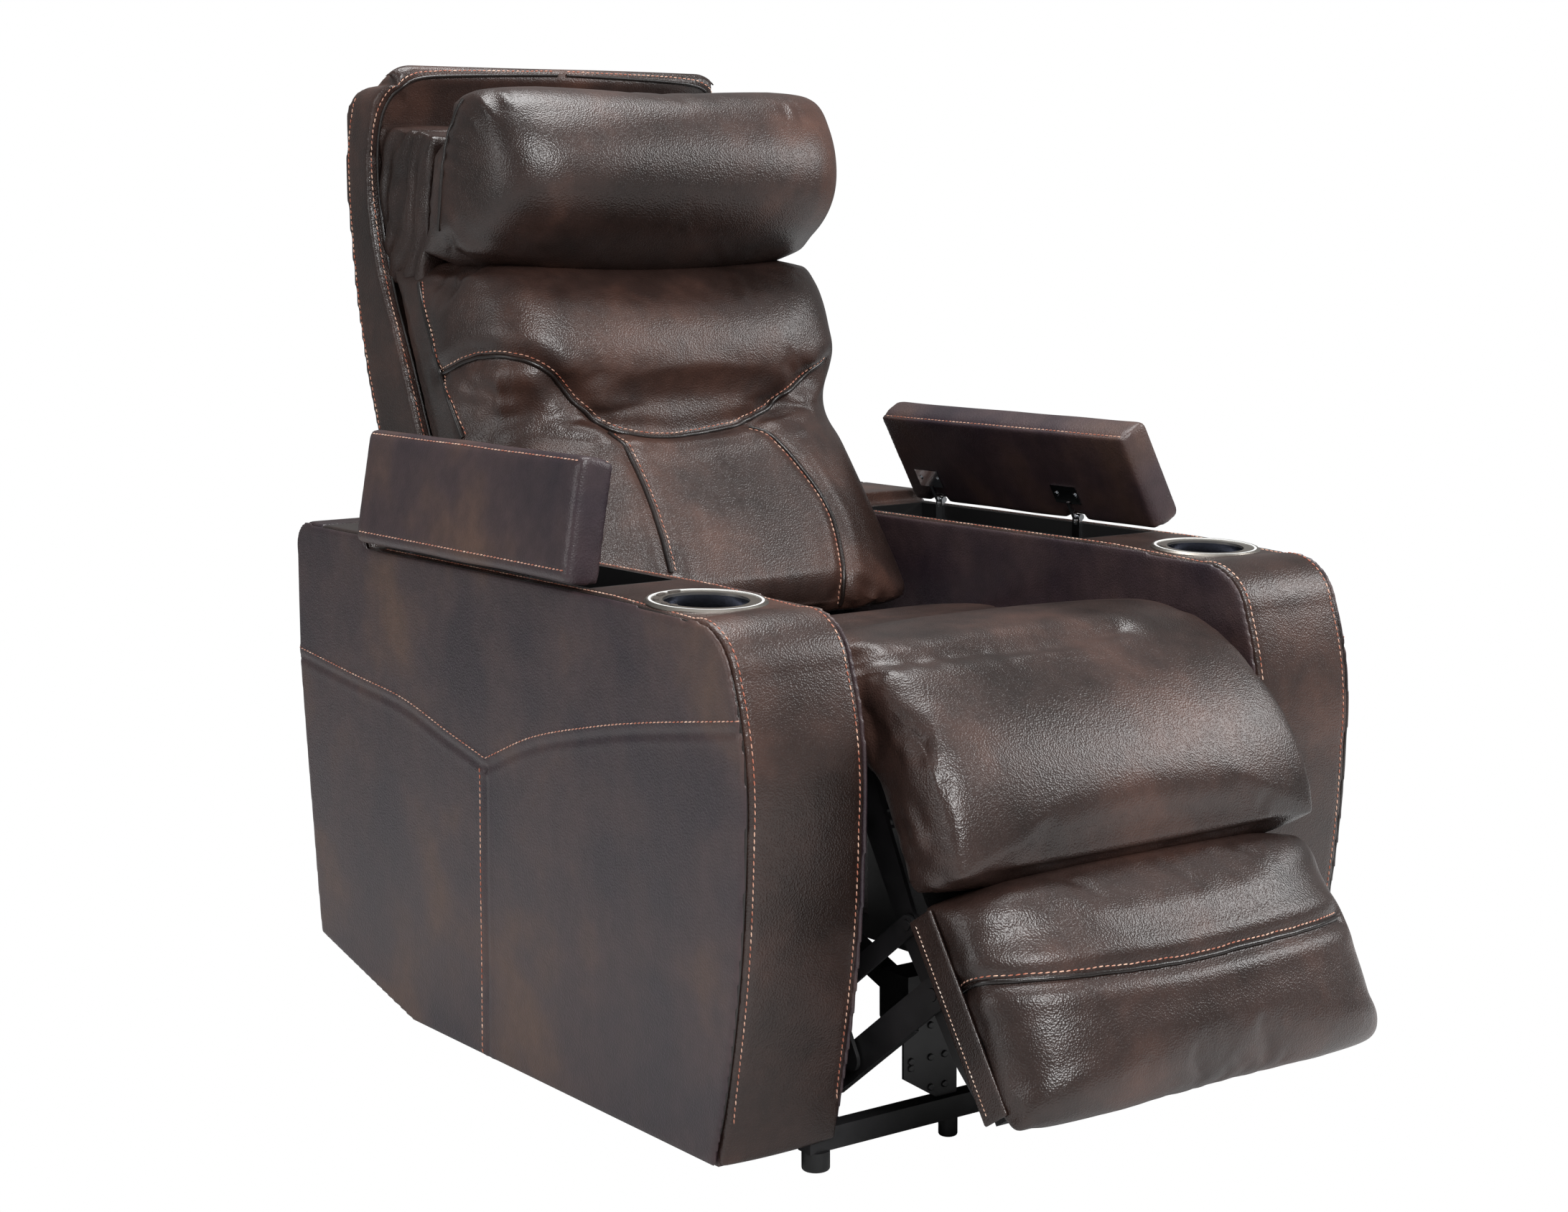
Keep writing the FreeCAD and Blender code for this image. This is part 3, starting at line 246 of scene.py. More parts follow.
def moulded(name, colour, roughness, glow=0.0):
    """Moulded ABS or acetal, with a faint spark-eroded grain."""
    material, tree = new_material(name)
    place = add_node(tree, "ShaderNodeTexCoord").outputs["Object"]
    texture = add_node(tree, "ShaderNodeTexNoise", Vector=place, Scale=scale_for(1.11), Detail=2.0)
    paler = tuple(c * 1.15 for c in linear(colour))
    tone = ramp(tree, texture.outputs["Fac"], [(0.3, linear(colour)), (0.8, paler)])
    bump = add_node(tree, "ShaderNodeBump", Strength=0.15, Distance=0.08 * MM, Height=texture.outputs["Fac"])
    shader = add_node(tree, "ShaderNodeBsdfPrincipled", Base_Color=tone.outputs["Color"], Roughness=roughness,
                      Normal=bump.outputs["Normal"])
    if glow:
        shader.inputs["Emission Color"].default_value = linear(colour)
        shader.inputs["Emission Strength"].default_value = glow
    finish_material(tree, shader)
    return material


def dust_cloth(name):
    """Black non-woven dust cover, spot-bonded, quite matt."""
    material, tree = new_material(name)
    place = add_node(tree, "ShaderNodeTexCoord").outputs["Object"]
    spots = add_node(tree, "ShaderNodeTexVoronoi", Vector=place, Scale=scale_for(1.92))
    tone = ramp(tree, spots.outputs["Distance"], [(0.1, linear("#0c0c0d")), (0.6, linear("#1b1b1c"))])
    bump = add_node(tree, "ShaderNodeBump", Strength=0.5, Distance=0.2 * MM, Height=spots.outputs["Distance"])
    shader = add_node(tree, "ShaderNodeBsdfPrincipled", Base_Color=tone.outputs["Color"], Roughness=0.9,
                      Normal=bump.outputs["Normal"])
    finish_material(tree, shader)
    return material


COVER = leather("brown_leather_cushion", "#201613", "#2f211d", "#462f27", 0.33, 1.8, 0.52)
PANEL = leather("brown_leather_panel", "#281e25", "#3a2c2e", "#503b32", 0.41, 2.0, 0.40)
PIPING = leather("dark_leather_piping", "#120d0c", "#1a1412", "#231a17", 0.28, 1.4, 0.15)
THREAD = thread("rust_thread", "#a1563c", "#d9b39c")
PALE_THREAD = thread("cream_thread", "#b98f78", "#e9d9cb")
BLACK_STEEL = coated_steel("black_powder_coated_steel", "#0b0b0c", 0.42)
SPRING_STEEL = plated("oiled_spring_wire", "#3c3d40", 0.38)
CHROME = plated("chrome_plate", "#cfd2d6", 0.12)
NICKEL = plated("satin_nickel", "#8d8881", 0.36, (0.3125, 0.3125, 4.17))
DARK_NICKEL = plated("dark_nickel_cup", "#4a4a4e", 0.22, (4.17, 4.17, 0.417))
DIFFUSER = moulded("milky_light_diffuser", "#d9dad8", 0.28)
BLACK_PLASTIC = moulded("black_abs", "#121213", 0.50)
KEY_PLASTIC = moulded("grey_key_cap", "#4b4642", 0.32)
LED = moulded("led_strip", "#dfe9ff", 0.3, 2.2)
DUST_CLOTH = dust_cloth("black_dust_cloth")


# Mesh tools

SLOT_INNER = 200.0
SLOT_STRETCH = 1.20
GROOVE_REACH = 0.05
FOLD_REACH = 0.04
BATCH = 40
WAVES = 7


def points(obj):
    co = np.zeros(len(obj.data.vertices) * 3)
    obj.data.vertices.foreach_get("co", co)
    return co.reshape(-1, 3)


def set_points(obj, co):
    obj.data.vertices.foreach_set("co", co.ravel())
    obj.data.update()


def normals(obj):
    no = np.zeros(len(obj.data.vertices) * 3)
    obj.data.vertices.foreach_get("normal", no)
    return no.reshape(-1, 3)


def new_object(name, mesh, material):
    obj = bpy.data.objects.new(name, mesh)
    bpy.context.scene.collection.objects.link(obj)
    obj.data.materials.clear()
    obj.data.materials.append(material)
    return obj


def settle(obj, modifier):
    """Applies one modifier, with nothing but its object selected."""
    bpy.ops.object.select_all(action="DESELECT")
    obj.select_set(True)
    bpy.context.view_layer.objects.active = obj
    bpy.ops.object.modifier_apply(modifier=modifier.name)


def apply_modifier(obj, kind, **settings):
    modifier = obj.modifiers.new(kind.lower(), kind)
    for key, value in settings.items():
        setattr(modifier, key, value)
    settle(obj, modifier)


def cover(name, nodes, material, voxel, rounds, filled=()):
    """A leather skin over some solids: their merged copy, remeshed and softened. The slots in the ends of a
    filled one are closed by a second copy, cut off at SLOT_INNER each way and stretched over them."""
    shape = bmesh.new()
    for node in nodes:
        first = len(shape.verts)
        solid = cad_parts[node].data
        shape.from_mesh(solid)
        bmesh.ops.remove_doubles(shape, verts=list(shape.verts)[first:], dist=0.01 * MM)
        if node in filled:
            again = bmesh.ops.duplicate(shape, geom=list(shape.faces)[-len(solid.polygons):])
            for vertex in (item for item in again["geom"] if isinstance(item, bmesh.types.BMVert)):
                vertex.co.x = max(-SLOT_INNER * MM, min(SLOT_INNER * MM, vertex.co.x)) * SLOT_STRETCH
    mesh = bpy.data.meshes.new(name)
    shape.to_mesh(mesh)
    shape.free()
    obj = new_object(name, mesh, material)
    apply_modifier(obj, "REMESH", mode="VOXEL", voxel_size=voxel * MM)
    apply_modifier(obj, "SMOOTH", factor=0.5, iterations=rounds)
    obj.data.polygons.foreach_set("use_smooth", [True] * len(obj.data.polygons))
    return obj


def shrink(obj, amount_mm):
    set_points(obj, points(obj) - normals(obj) * amount_mm * MM)


def smooth_step(value, low, high):
    t = np.clip((value - low) / (high - low), 0, 1)
    return t * t * (3 - 2 * t)


def puff(obj, pressure, cap_mm, spare=0.0, frames=14):
    """Blows a skin up as cloth over its filling. cap_mm is how far a point may move, one number or one each."""
    start = points(obj)
    modifier = obj.modifiers.new("cloth", "CLOTH")
    cloth = modifier.settings
    cloth.use_pressure = True
    cloth.uniform_pressure_force = pressure
    cloth.effector_weights.gravity = 0
    cloth.quality = 4
    cloth.tension_stiffness = 18
    cloth.compression_stiffness = 18
    cloth.bending_stiffness = 0.8
    cloth.shrink_min = -spare
    modifier.point_cache.frame_start = 1
    modifier.point_cache.frame_end = frames
    for step in range(1, frames + 1):
        bpy.context.scene.frame_set(step)
    settle(obj, modifier)
    bpy.context.scene.frame_set(1)
    moved = points(obj) - start
    far = np.linalg.norm(moved, axis=1)
    share = np.minimum(1, cap_mm * MM / np.maximum(far, 1e-9))
    set_points(obj, start + moved * share[:, None])


def skin_tree(obj):
    mesh = obj.data
    return BVHTree.FromPolygons([v.co for v in mesh.vertices], [p.vertices for p in mesh.polygons])


def dense(line, step_mm=2.0):
    """A smooth curve through some points, as many points a step apart, in metres."""
    control = np.array([tuple(p) for p in line], float)
    padded = np.vstack([2 * control[0] - control[1], control, 2 * control[-1] - control[-2]])
    found = [control[0]]
    for i in range(1, len(padded) - 2):
        a, b, c, d = padded[i - 1:i + 3]
        count = max(2, int(np.linalg.norm(c - b) / (0.25 * step_mm * MM)))
        for t in np.linspace(0, 1, count + 1)[1:]:
            found.append(0.5 * (2 * b + (c - a) * t + (2 * a - 5 * b + 4 * c - d) * t * t
                                + (3 * b - a - 3 * c + d) * t ** 3))
    found = np.array(found)
    run = np.concatenate([[0], np.cumsum(np.linalg.norm(np.diff(found, axis=0), axis=1))])
    places = np.linspace(0, run[-1], max(3, int(run[-1] / (step_mm * MM))))
    return np.stack([np.interp(places, run, found[:, i]) for i in range(3)], axis=1)


def even(line):
    """Evens out a line that lies on a skin, so that it doesn't jump where the skin is rough."""
    soft = line.copy()
    for _ in range(6):
        soft[1:-1] = soft[1:-1] * 0.5 + (soft[:-2] + soft[2:]) * 0.25
    return soft


def seen_on(tree, pixels):
    """Where a curve through pixels of the photograph meets a skin, or nothing where it misses."""
    flat = dense([(u * MM, v * MM, 0) for u, v in pixels], 6.0) / MM
    found = []
    for u, v, _ in flat:
        hit = tree.ray_cast(CAMERA_PLACE, sight((u, v)))[0]
        if hit is not None:
            found.append(hit)
    if len(found) < 4:
        return None
    return dense(even(np.array([tuple(p) for p in found])), 2.0)


def laid_on(tree, line):
    """A curve through points near a skin, moved onto it."""
    found = [tree.find_nearest(Vector(p))[0] for p in dense(line, 3.0)]
    return dense(even(np.array([tuple(p) for p in found])), 2.0)


def gap_to(co, line):
    """Distance of each point to a line of close points."""
    near = np.full(len(co), 1e9)
    low = line.min(0) - GROOVE_REACH
    high = line.max(0) + GROOVE_REACH
    inside = np.all((co > low) & (co < high), axis=1)
    spots = co[inside]
    best = np.full(len(spots), 1e9)
    for start in range(0, len(line), BATCH):
        part = line[start:start + BATCH]
        best = np.minimum(best, np.sqrt(((spots[:, None, :] - part[None]) ** 2).sum(2)).min(1))
    near[inside] = best
    return near


def groove(obj, line, depth_mm, width_mm, lift_mm=0.0):
    """Sinks a skin along a line, with a soft swelling beside it."""
    co = points(obj)
    no = normals(obj)
    d = gap_to(co, line) / MM
    sink = depth_mm * np.exp(-(d / width_mm) ** 2)
    swell = lift_mm * np.exp(-((d - 2.2 * width_mm) / (1.3 * width_mm)) ** 2)
    set_points(obj, co + no * ((swell - sink) * MM)[:, None])


def wrinkle(obj, line, height_mm, width_mm):
    """A fold that runs along a line, highest at its start and fading to its end, with a dip beside it."""
    co = points(obj)
    no = normals(obj)
    low = line.min(0) - FOLD_REACH
    high = line.max(0) + FOLD_REACH
    inside = np.where(np.all((co > low) & (co < high), axis=1))[0]
    spots = co[inside]
    gaps = np.sqrt(((spots[:, None, :] - line[None]) ** 2).sum(2))
    nearest = gaps.argmin(1)
    d = gaps.min(1) / MM
    along = nearest / (len(line) - 1)
    fade = np.sin(np.pi * np.clip(0.12 + 0.88 * along, 0, 1)) ** 0.7 * (1 - 0.4 * along)
    shape = np.exp(-(d / width_mm) ** 2) - 0.55 * np.exp(-((d - 1.9 * width_mm) / width_mm) ** 2)
    co[inside] += no[inside] * (height_mm * fade * shape * MM)[:, None]
    set_points(obj, co)


def crumple(obj, folds, height_mm, width_mm):
    """Folds drawn between pixels of the photograph, on the skin they are seen on."""
    tree = skin_tree(obj)
    for fold in folds:
        line = seen_on(tree, fold)
        if line is not None:
            wrinkle(obj, line, height_mm, width_mm)


def ripple(obj, height_mm, size_mm, seed, mask=None):
    """Slow unevenness of leather over foam: a few sine waves with fixed directions."""
    rng = np.random.default_rng(seed)
    co = points(obj)
    no = normals(obj)
    total = np.zeros(len(co))
    for _ in range(WAVES):
        way = rng.normal(size=3)
        way /= np.linalg.norm(way)
        pitch = size_mm * MM * rng.uniform(0.7, 1.6)
        total += np.sin(co @ way * (2 * math.pi / pitch) + rng.uniform(0, 6.28))
    total *= height_mm / WAVES ** 0.5
    if mask is not None:
        total *= mask
    set_points(obj, co + no * (total * MM)[:, None])


def lift_ends(obj, rise_mm, low, high):
    """Raises both ends of a skin, most at the side faces, for the heights between low and high."""
    co = points(obj)
    z = co[:, 2] / MM
    reach = np.clip(np.abs(co[:, 0]) / MM / CUSHION_HALF, 0, 1) ** 2
    level = smooth_step(z, low[0], low[1]) * (1 - smooth_step(z, high[0], high[1]))
    co[:, 2] += rise_mm * reach * level * MM
    set_points(obj, co)


# Seams: piping and stitches, as separate pieces on a skin

STITCH_LEAN = math.radians(7.0)
STITCH_PROUD = 0.25


def tube(name, line, radius_mm, material):
    curve = bpy.data.curves.new(name, "CURVE")
    curve.dimensions = "3D"
    curve.bevel_depth = radius_mm * MM
    curve.bevel_resolution = 1
    curve.use_fill_caps = True
    spline = curve.splines.new("POLY")
    spline.points.add(len(line) - 1)
    for point, co in zip(spline.points, line):
        point.co = (*co, 1)
    holder = bpy.data.objects.new(name, curve)
    bpy.context.scene.collection.objects.link(holder)
    bpy.context.view_layer.update()
    mesh = bpy.data.meshes.new_from_object(holder.evaluated_get(bpy.context.evaluated_depsgraph_get()))
    bpy.data.objects.remove(holder)
    obj = new_object(name, mesh, material)
    obj.data.polygons.foreach_set("use_smooth", [True] * len(obj.data.polygons))
    return obj


def one_stitch():
    """One thread stitch as a grain along X, a unit long and a unit thick."""
    bpy.ops.object.select_all(action="DESELECT")
    bpy.ops.mesh.primitive_uv_sphere_add(segments=6, ring_count=4, radius=0.5, rotation=(0, math.pi / 2, 0))
    grain = bpy.context.object
    bpy.ops.object.transform_apply(rotation=True)
    co = points(grain)
    faces = sorted(tuple(p.vertices) for p in grain.data.polygons)
    bpy.data.objects.remove(grain)
    return co, faces


STITCH_POINTS, STITCH_FACES = one_stitch()


def offset_line(tree, line, side_mm, lift_mm=0.0):
    """A line beside another on a skin: side_mm to the left of its direction, seen from outside."""
    way = np.gradient(line, axis=0)
    way /= np.linalg.norm(way, axis=1)[:, None]
    found = []
    for p, t in zip(line, way):
        _, normal, _, _ = tree.find_nearest(Vector(p))
        side = normal.cross(Vector(t))
        hit, out, _, _ = tree.find_nearest(Vector(p) + side * side_mm * MM)
        found.append(tuple(hit + out * lift_mm * MM))
    return dense(even(np.array(found)), 2.0)


def stitches(name, rows, trees, material, pitch_mm=6.8, long_mm=5.2, thick_mm=1.5):
    """Rows of stitches, each a list of points on a skin, made into one mesh."""
    co = []
    faces = []
    along, aside = math.cos(STITCH_LEAN), math.sin(STITCH_LEAN)
    for line, tree in zip(rows, trees):
        run = np.concatenate([[0], np.cumsum(np.linalg.norm(np.diff(line, axis=0), axis=1))])
        places = np.arange(pitch_mm * MM / 2, run[-1], pitch_mm * MM)
        spots = np.stack([np.interp(places, run, line[:, i]) for i in range(3)], axis=1)
        ahead = np.stack([np.interp(places + 1.0 * MM, run, line[:, i]) for i in range(3)], axis=1)
        for p, q in zip(spots, ahead):
            hit, normal, _, _ = tree.find_nearest(Vector(p))
            way = Vector(q - p)
            way = (way - normal * way.dot(normal)).normalized()
            side = normal.cross(way)
            way, side = way * along + side * aside, side * along - way * aside
            axes = np.array([way * long_mm * MM, side * thick_mm * MM, normal * thick_mm * MM])
            first = len(co)
            centre = np.array(hit + normal * STITCH_PROUD * MM)
            co.extend(centre + STITCH_POINTS @ axes)
            faces.extend(tuple(first + i for i in face) for face in STITCH_FACES)
    mesh = bpy.data.meshes.new(name)
    mesh.from_pydata([tuple(p) for p in co], [], faces)
    obj = new_object(name, mesh, material)
    obj.data.polygons.foreach_set("use_smooth", [True] * len(obj.data.polygons))
    return obj


def ring_around(tree, x, centre, first_deg, last_deg, step_deg=1.5):
    """Points where a skin is met from outside at one X, going round a centre in Y and Z."""
    outside_m = 1.2
    found = []
    count = int(abs(last_deg - first_deg) / step_deg) + 1
    for angle in np.linspace(first_deg, last_deg, count):
        way = Vector((0, math.cos(math.radians(angle)), math.sin(math.radians(angle))))
        start = at(x, *centre) + way * outside_m
        hit = tree.ray_cast(start, -way)[0]
        if hit is not None:
            found.append(tuple(hit))
    return dense(even(np.array(found)), 2.0)


def dress(obj, body, nodes=()):
    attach(obj, body)
    if nodes:
        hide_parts(*nodes)


# Arms

ARM_CENTRE = (430.0, 330.0)
ARM_ROUND = (40, 232)
ARM_MIDDLE = 328.5
ARM_SEAM_OUT = 388.5
ARM_SEAM_IN = 268.0
ARM_WELT = 396.4
PANEL_STITCH_OFFSET = 11
BAND_CROWN = 2.0
BAND_CROWN_HALF = 67.0
BAND_DROP = 17.0
BAND_STEP = 1.2
PANEL_SEAM = [(902, 409), (760, 395), (649, 384), (554, 363), (470, 345)]
PANEL_SEAM_FRONT = [(470, 345), (374, 382), (264, 409), (161, 429), (9, 453)]
PANEL_SEAM_DOWN = [(470, 345), (473, 190), (476, 34)]


def make_arm(side, name):
    """Leather over one arm: outer and inner panels, and the band that runs over the front and the top."""
    outer = cover("arm_outer_cover_" + name, ["arm_outer_panel_" + name], PANEL, 3.4, 2)
    co = drawn(points(outer))
    lines = [PANEL_SEAM, PANEL_SEAM_FRONT, PANEL_SEAM_DOWN]
    seams = [dense([at(side * ARM_OUTER, y, z) for y, z in line]) for line in lines]
    for seam in seams:
        groove(outer, seam, depth_mm=1.5, width_mm=3.2, lift_mm=0.4)
    outside = smooth_step(np.abs(co[:, 0]), ARM_OUTER - 2.0, ARM_OUTER - 1.0)
    ripple(outer, height_mm=0.45, size_mm=210.0, seed=5, mask=outside)
    tree = skin_tree(outer)
    rows = []
    above = (0, PANEL_STITCH_OFFSET)
    behind = (PANEL_STITCH_OFFSET, 0)
    for line, shift in zip(lines, (above, above, behind)):
        rows.append(laid_on(tree, [at(side * ARM_OUTER, y + shift[0], z + shift[1]) for y, z in line]))
    made = stitches("arm_panel_stitches_" + name, rows, [tree] * len(rows), THREAD)
    dress(outer, "base", nodes=["arm_outer_panel_" + name])
    dress(made, "base")

    inner = cover("arm_inner_cover_" + name, ["arm_inner_panel_" + name], PANEL, 3.8, 2)
    dress(inner, "base", nodes=["arm_inner_panel_" + name])

    band = cover("arm_band_" + name, ["arm_front_board_" + name, "arm_top_board_" + name], COVER, 3.0, 3)
    co = drawn(points(band))
    middle = 1 - ((np.abs(co[:, 0]) - ARM_MIDDLE) / BAND_CROWN_HALF) ** 2
    front = 1 - smooth_step(co[:, 1], 90, 220)
    swell = np.clip(middle, 0, 1) * front * BAND_CROWN
    shape = points(band) + normals(band) * (swell * MM)[:, None]
    low = 1 - smooth_step(co[:, 2], 48, 130)
    shape[:, 2] -= BAND_DROP * low * MM
    shape[:, 1] -= BAND_STEP * low * front * MM
    set_points(band, shape)
    tree = skin_tree(band)
    edge_out = ring_around(tree, side * ARM_SEAM_OUT, ARM_CENTRE, *ARM_ROUND)
    edge_in = ring_around(tree, side * ARM_SEAM_IN, ARM_CENTRE, *ARM_ROUND)
    for row in (edge_out, edge_in):
        groove(band, row, depth_mm=0.9, width_mm=3.0)
    tree = skin_tree(band)
    made = stitches("arm_band_stitches_" + name, [edge_out, edge_in], [tree, tree], THREAD)
    dress(band, "base", nodes=["arm_front_board_" + name, "arm_top_board_" + name])
    dress(made, "base")
    welt_line = ring_around(skin_tree(outer), side * ARM_WELT, ARM_CENTRE, *ARM_ROUND)
    made = tube("arm_edge_welt_" + name, welt_line, 1.7, PIPING)
    dress(made, "base")


def make_arm_rears():
    rear = cover("arm_rear_covers", ["arm_rear_boards"], PANEL, 4.0, 2)
    dress(rear, "base", nodes=["arm_rear_boards"])
    floor_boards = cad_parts["arm_bottom_boards"]
    floor_boards.data.materials.clear()
    floor_boards.data.materials.append(PANEL)


# Lids, drawn closed and swung open about their hinge

LID_SEAM_ENDS = (282, 712)
LID_TOP_Z = 598.0
LID_LOW_Z = 560.0
LID_SEAMS = [(262, LID_TOP_Z), (372, LID_TOP_Z), (258, LID_LOW_Z)]


def lid_place(side, name, x, y, z):
    """A point of the closed lid, as it stands in the opened one."""
    swing = math.radians(LID_OPEN[name])
    dx = x - LID_AXIS[0]
    dz = z - LID_AXIS[1]
    return at(side * (LID_AXIS[0] + dx * math.cos(swing) + dz * math.sin(swing)), y,
              LID_AXIS[1] - dx * math.sin(swing) + dz * math.cos(swing))


def make_lid(side, name):
    pad = cover("lid_cover_" + name, ["lid_pad_" + name, "lid_board_" + name], PANEL, 3.0, 24)
    ripple(pad, height_mm=0.35, size_mm=120.0, seed=11)
    tree = skin_tree(pad)
    front, back = LID_SEAM_ENDS
    rows = []
    for x, z in LID_SEAMS:
        line = [lid_place(side, name, x, y, z) for y in (front, (front + back) / 2, back)]
        rows.append(laid_on(tree, line))
    for row in rows:
        groove(pad, row, depth_mm=0.7, width_mm=2.4)
    tree = skin_tree(pad)
    made = stitches("lid_stitches_" + name, rows, [tree] * len(rows), THREAD)
    body = "lid_" + name
    dress(pad, body, nodes=["lid_pad_" + name, "lid_board_" + name])
    dress(made, body)


# Back: shell, gusset, cushion and headrest

SHELL_SEAM_PIXELS = [(608, 640), (598, 600), (574, 500), (549, 400), (533, 310), (526, 225), (531, 165),
                     (545, 134), (568, 114), (600, 107), (700, 105), (790, 105)]
SHELL_REAR_EDGE = [(-250, 1020, 1060), (-250, 1038, 1005), (-250, 1037, 918), (-250, 1016, 790),
                   (-250, 981, 673), (-250, 943, 540), (-250, 906, 405)]
SHELL_CROSS_SEAM = [(-246, 978, 989), (0, 976, 989), (246, 978, 989)]
SHELL_STITCH_OFFSET = 8.0
SHELL_REAR_INSET = 7
SHELL_HALF = 250.0
SHELL_TOP_Z = 1096.0
SHELL_CORNER = 46.0


def mirrored(line):
    return [(-x, y, z) for x, y, z in line]


def make_shell():
    shell = cover("back_shell_cover", ["back_shell"], COVER, 5.0, 5)
    co = points(shell)
    across = np.abs(co[:, 0]) / MM - (SHELL_HALF - SHELL_CORNER)
    rise = co[:, 2] / MM - (SHELL_TOP_Z - SHELL_CORNER)
    corner = (across > 0) & (rise > 0)
    share = np.where(corner, np.maximum(across, rise) / np.maximum(np.hypot(across, rise), 1e-6), 1)
    rounded = (SHELL_HALF - SHELL_CORNER + across * share) * MM
    co[:, 0] = np.where(corner, np.sign(co[:, 0]) * rounded, co[:, 0])
    co[:, 2] = np.where(corner, (SHELL_TOP_Z - SHELL_CORNER + rise * share) * MM, co[:, 2])
    set_points(shell, co)
    ripple(shell, height_mm=0.5, size_mm=240.0, seed=3)
    tree = skin_tree(shell)
    rows = []
    welts = []
    half = seen_on(tree, SHELL_SEAM_PIXELS)
    half = half[half[:, 0] < -0.002]
    for line in (half, half * np.array([-1, 1, 1])):
        line = laid_on(tree, line[::8])
        welts.append(line)
        rows.append(offset_line(tree, line, SHELL_STITCH_OFFSET if line[0][0] < 0 else -SHELL_STITCH_OFFSET))
    for edge in (SHELL_REAR_EDGE, mirrored(SHELL_REAR_EDGE)):
        rows.append(laid_on(tree, [at(x, y - SHELL_REAR_INSET, z) for x, y, z in edge]))
    groove(shell, laid_on(tree, [at(*place) for place in SHELL_CROSS_SEAM]), depth_mm=2.0, width_mm=3.5)
    for line in welts + rows:
        groove(shell, line, depth_mm=1.0, width_mm=3.0)
    tree = skin_tree(shell)
    made = stitches("back_shell_stitches", rows, [tree] * len(rows), THREAD)
    dress(shell, "back", nodes=["back_shell"])
    dress(made, "back")
    for index, line in enumerate(welts):
        made = tube("back_shell_welt_%d" % index, line, 2.2, PIPING)
        dress(made, "back")


U_SEAM_PIXELS = [(610, 522), (655, 500), (700, 497), (735, 504), (765, 520), (800, 560), (840, 590),
                 (880, 600), (930, 603), (985, 597), (1040, 585), (1080, 562), (1120, 530), (1180, 484)]
LEFT_SEAM_PIXELS = [(852, 596), (872, 622), (890, 655), (905, 690), (922, 740), (936, 795)]
RIGHT_SEAM_PIXELS = [(1046, 588), (1085, 612), (1115, 645), (1145, 685), (1163, 720), (1173, 760), (1178, 800),
                     (1172, 850), (1165, 880)]
SIDE_PIXELS = [(584, 395), (590, 430), (602, 475), (612, 515), (626, 560), (645, 610)]
CREASE_FOLDS = [((600, 372), (720, 352)), ((595, 384), (690, 392)), ((1020, 378), (1045, 420))]
BOLSTER_FOLDS = [((640, 545), (735, 575)), ((665, 575), (745, 555)), ((690, 610), (760, 585)),
                 ((690, 525), (700, 590)), ((1160, 520), (1120, 570)), ((1110, 600), (1180, 590))]
PLEAT_FOLDS = [((985, 655), (1030, 745)), ((1010, 640), (1055, 730)), ((965, 690), (985, 760))]
CUSHION_FOOT = (790.0, 452.0)
CUSHION_LEAN = 0.3264
BACK_WELT_RADIUS = 3.1
BACK_STITCH_OFFSET = 6.5
BACK_SIDE_OFFSET = 5.0


def make_back_cushion():
    cushion = cover("back_cushion_cover", ["back_cushion"], COVER, 6.0, 8)
    co = drawn(points(cushion))
    rear_y = CUSHION_FOOT[0] + CUSHION_LEAN * (co[:, 2] - CUSHION_FOOT[1])
    front_side = 1 - smooth_step(co[:, 1] - rear_y, -90, -20)
    low = smooth_step(co[:, 2], CUSHION_FOOT[1], 480)
    high = smooth_step(co[:, 2], 800, 860)
    shrink(cushion, 4.0)
    puff(cushion, pressure=4.0, cap_mm=5.0 + 9.0 * front_side * low + 6.0 * high, spare=0.004)
    apply_modifier(cushion, "SMOOTH", factor=0.5, iterations=2)
    lift_ends(cushion, rise_mm=14.0, low=(760, 850), high=(2000, 2001))
    tree = skin_tree(cushion)
    u_line = seen_on(tree, U_SEAM_PIXELS)
    left_line = seen_on(tree, LEFT_SEAM_PIXELS)
    right_line = seen_on(tree, RIGHT_SEAM_PIXELS)
    groove(cushion, u_line, depth_mm=7.0, width_mm=12.0, lift_mm=2.5)
    for line in (left_line, right_line):
        groove(cushion, line, depth_mm=5.0, width_mm=9.0, lift_mm=1.5)
    crumple(cushion, CREASE_FOLDS, height_mm=2.6, width_mm=6.0)
    crumple(cushion, BOLSTER_FOLDS, height_mm=1.8, width_mm=6.0)
    crumple(cushion, PLEAT_FOLDS, height_mm=1.0, width_mm=7.0)
    apply_modifier(cushion, "SUBSURF", levels=1, render_levels=1)
    tree = skin_tree(cushion)
    u_line = laid_on(tree, u_line)
    left_line = laid_on(tree, left_line)
    right_line = laid_on(tree, right_line)
    near_side = seen_on(tree, SIDE_PIXELS)
    far_side = laid_on(tree, near_side[::6] * np.array([-1, 1, 1]))
    beside = BACK_STITCH_OFFSET
    edge = BACK_SIDE_OFFSET
    offsets = ((u_line, beside), (left_line, beside), (right_line, -beside), (near_side, edge),
               (far_side, -edge))
    rows = [offset_line(tree, line, side_mm) for line, side_mm in offsets]
    made = stitches("back_cushion_stitches", rows, [tree] * len(rows), THREAD)
    dress(cushion, "back", nodes=["back_cushion"])
    dress(made, "back")
    for index, line in enumerate((u_line, left_line, right_line, near_side, far_side)):
        made = tube("back_cushion_welt_%d" % index, line, BACK_WELT_RADIUS, PIPING)
        dress(made, "back")


HEAD_PIPING_PIXELS = [(646, 138), (632, 165), (621, 205), (614, 269), (612, 326)]
HEAD_FOLDS = [((612, 176), (648, 200)), ((606, 198), (650, 222)), ((604, 222), (642, 240)),
              ((640, 150), (668, 178)), ((668, 138), (690, 168)), ((700, 128), (712, 152)),
              ((1100, 148), (1108, 172))]


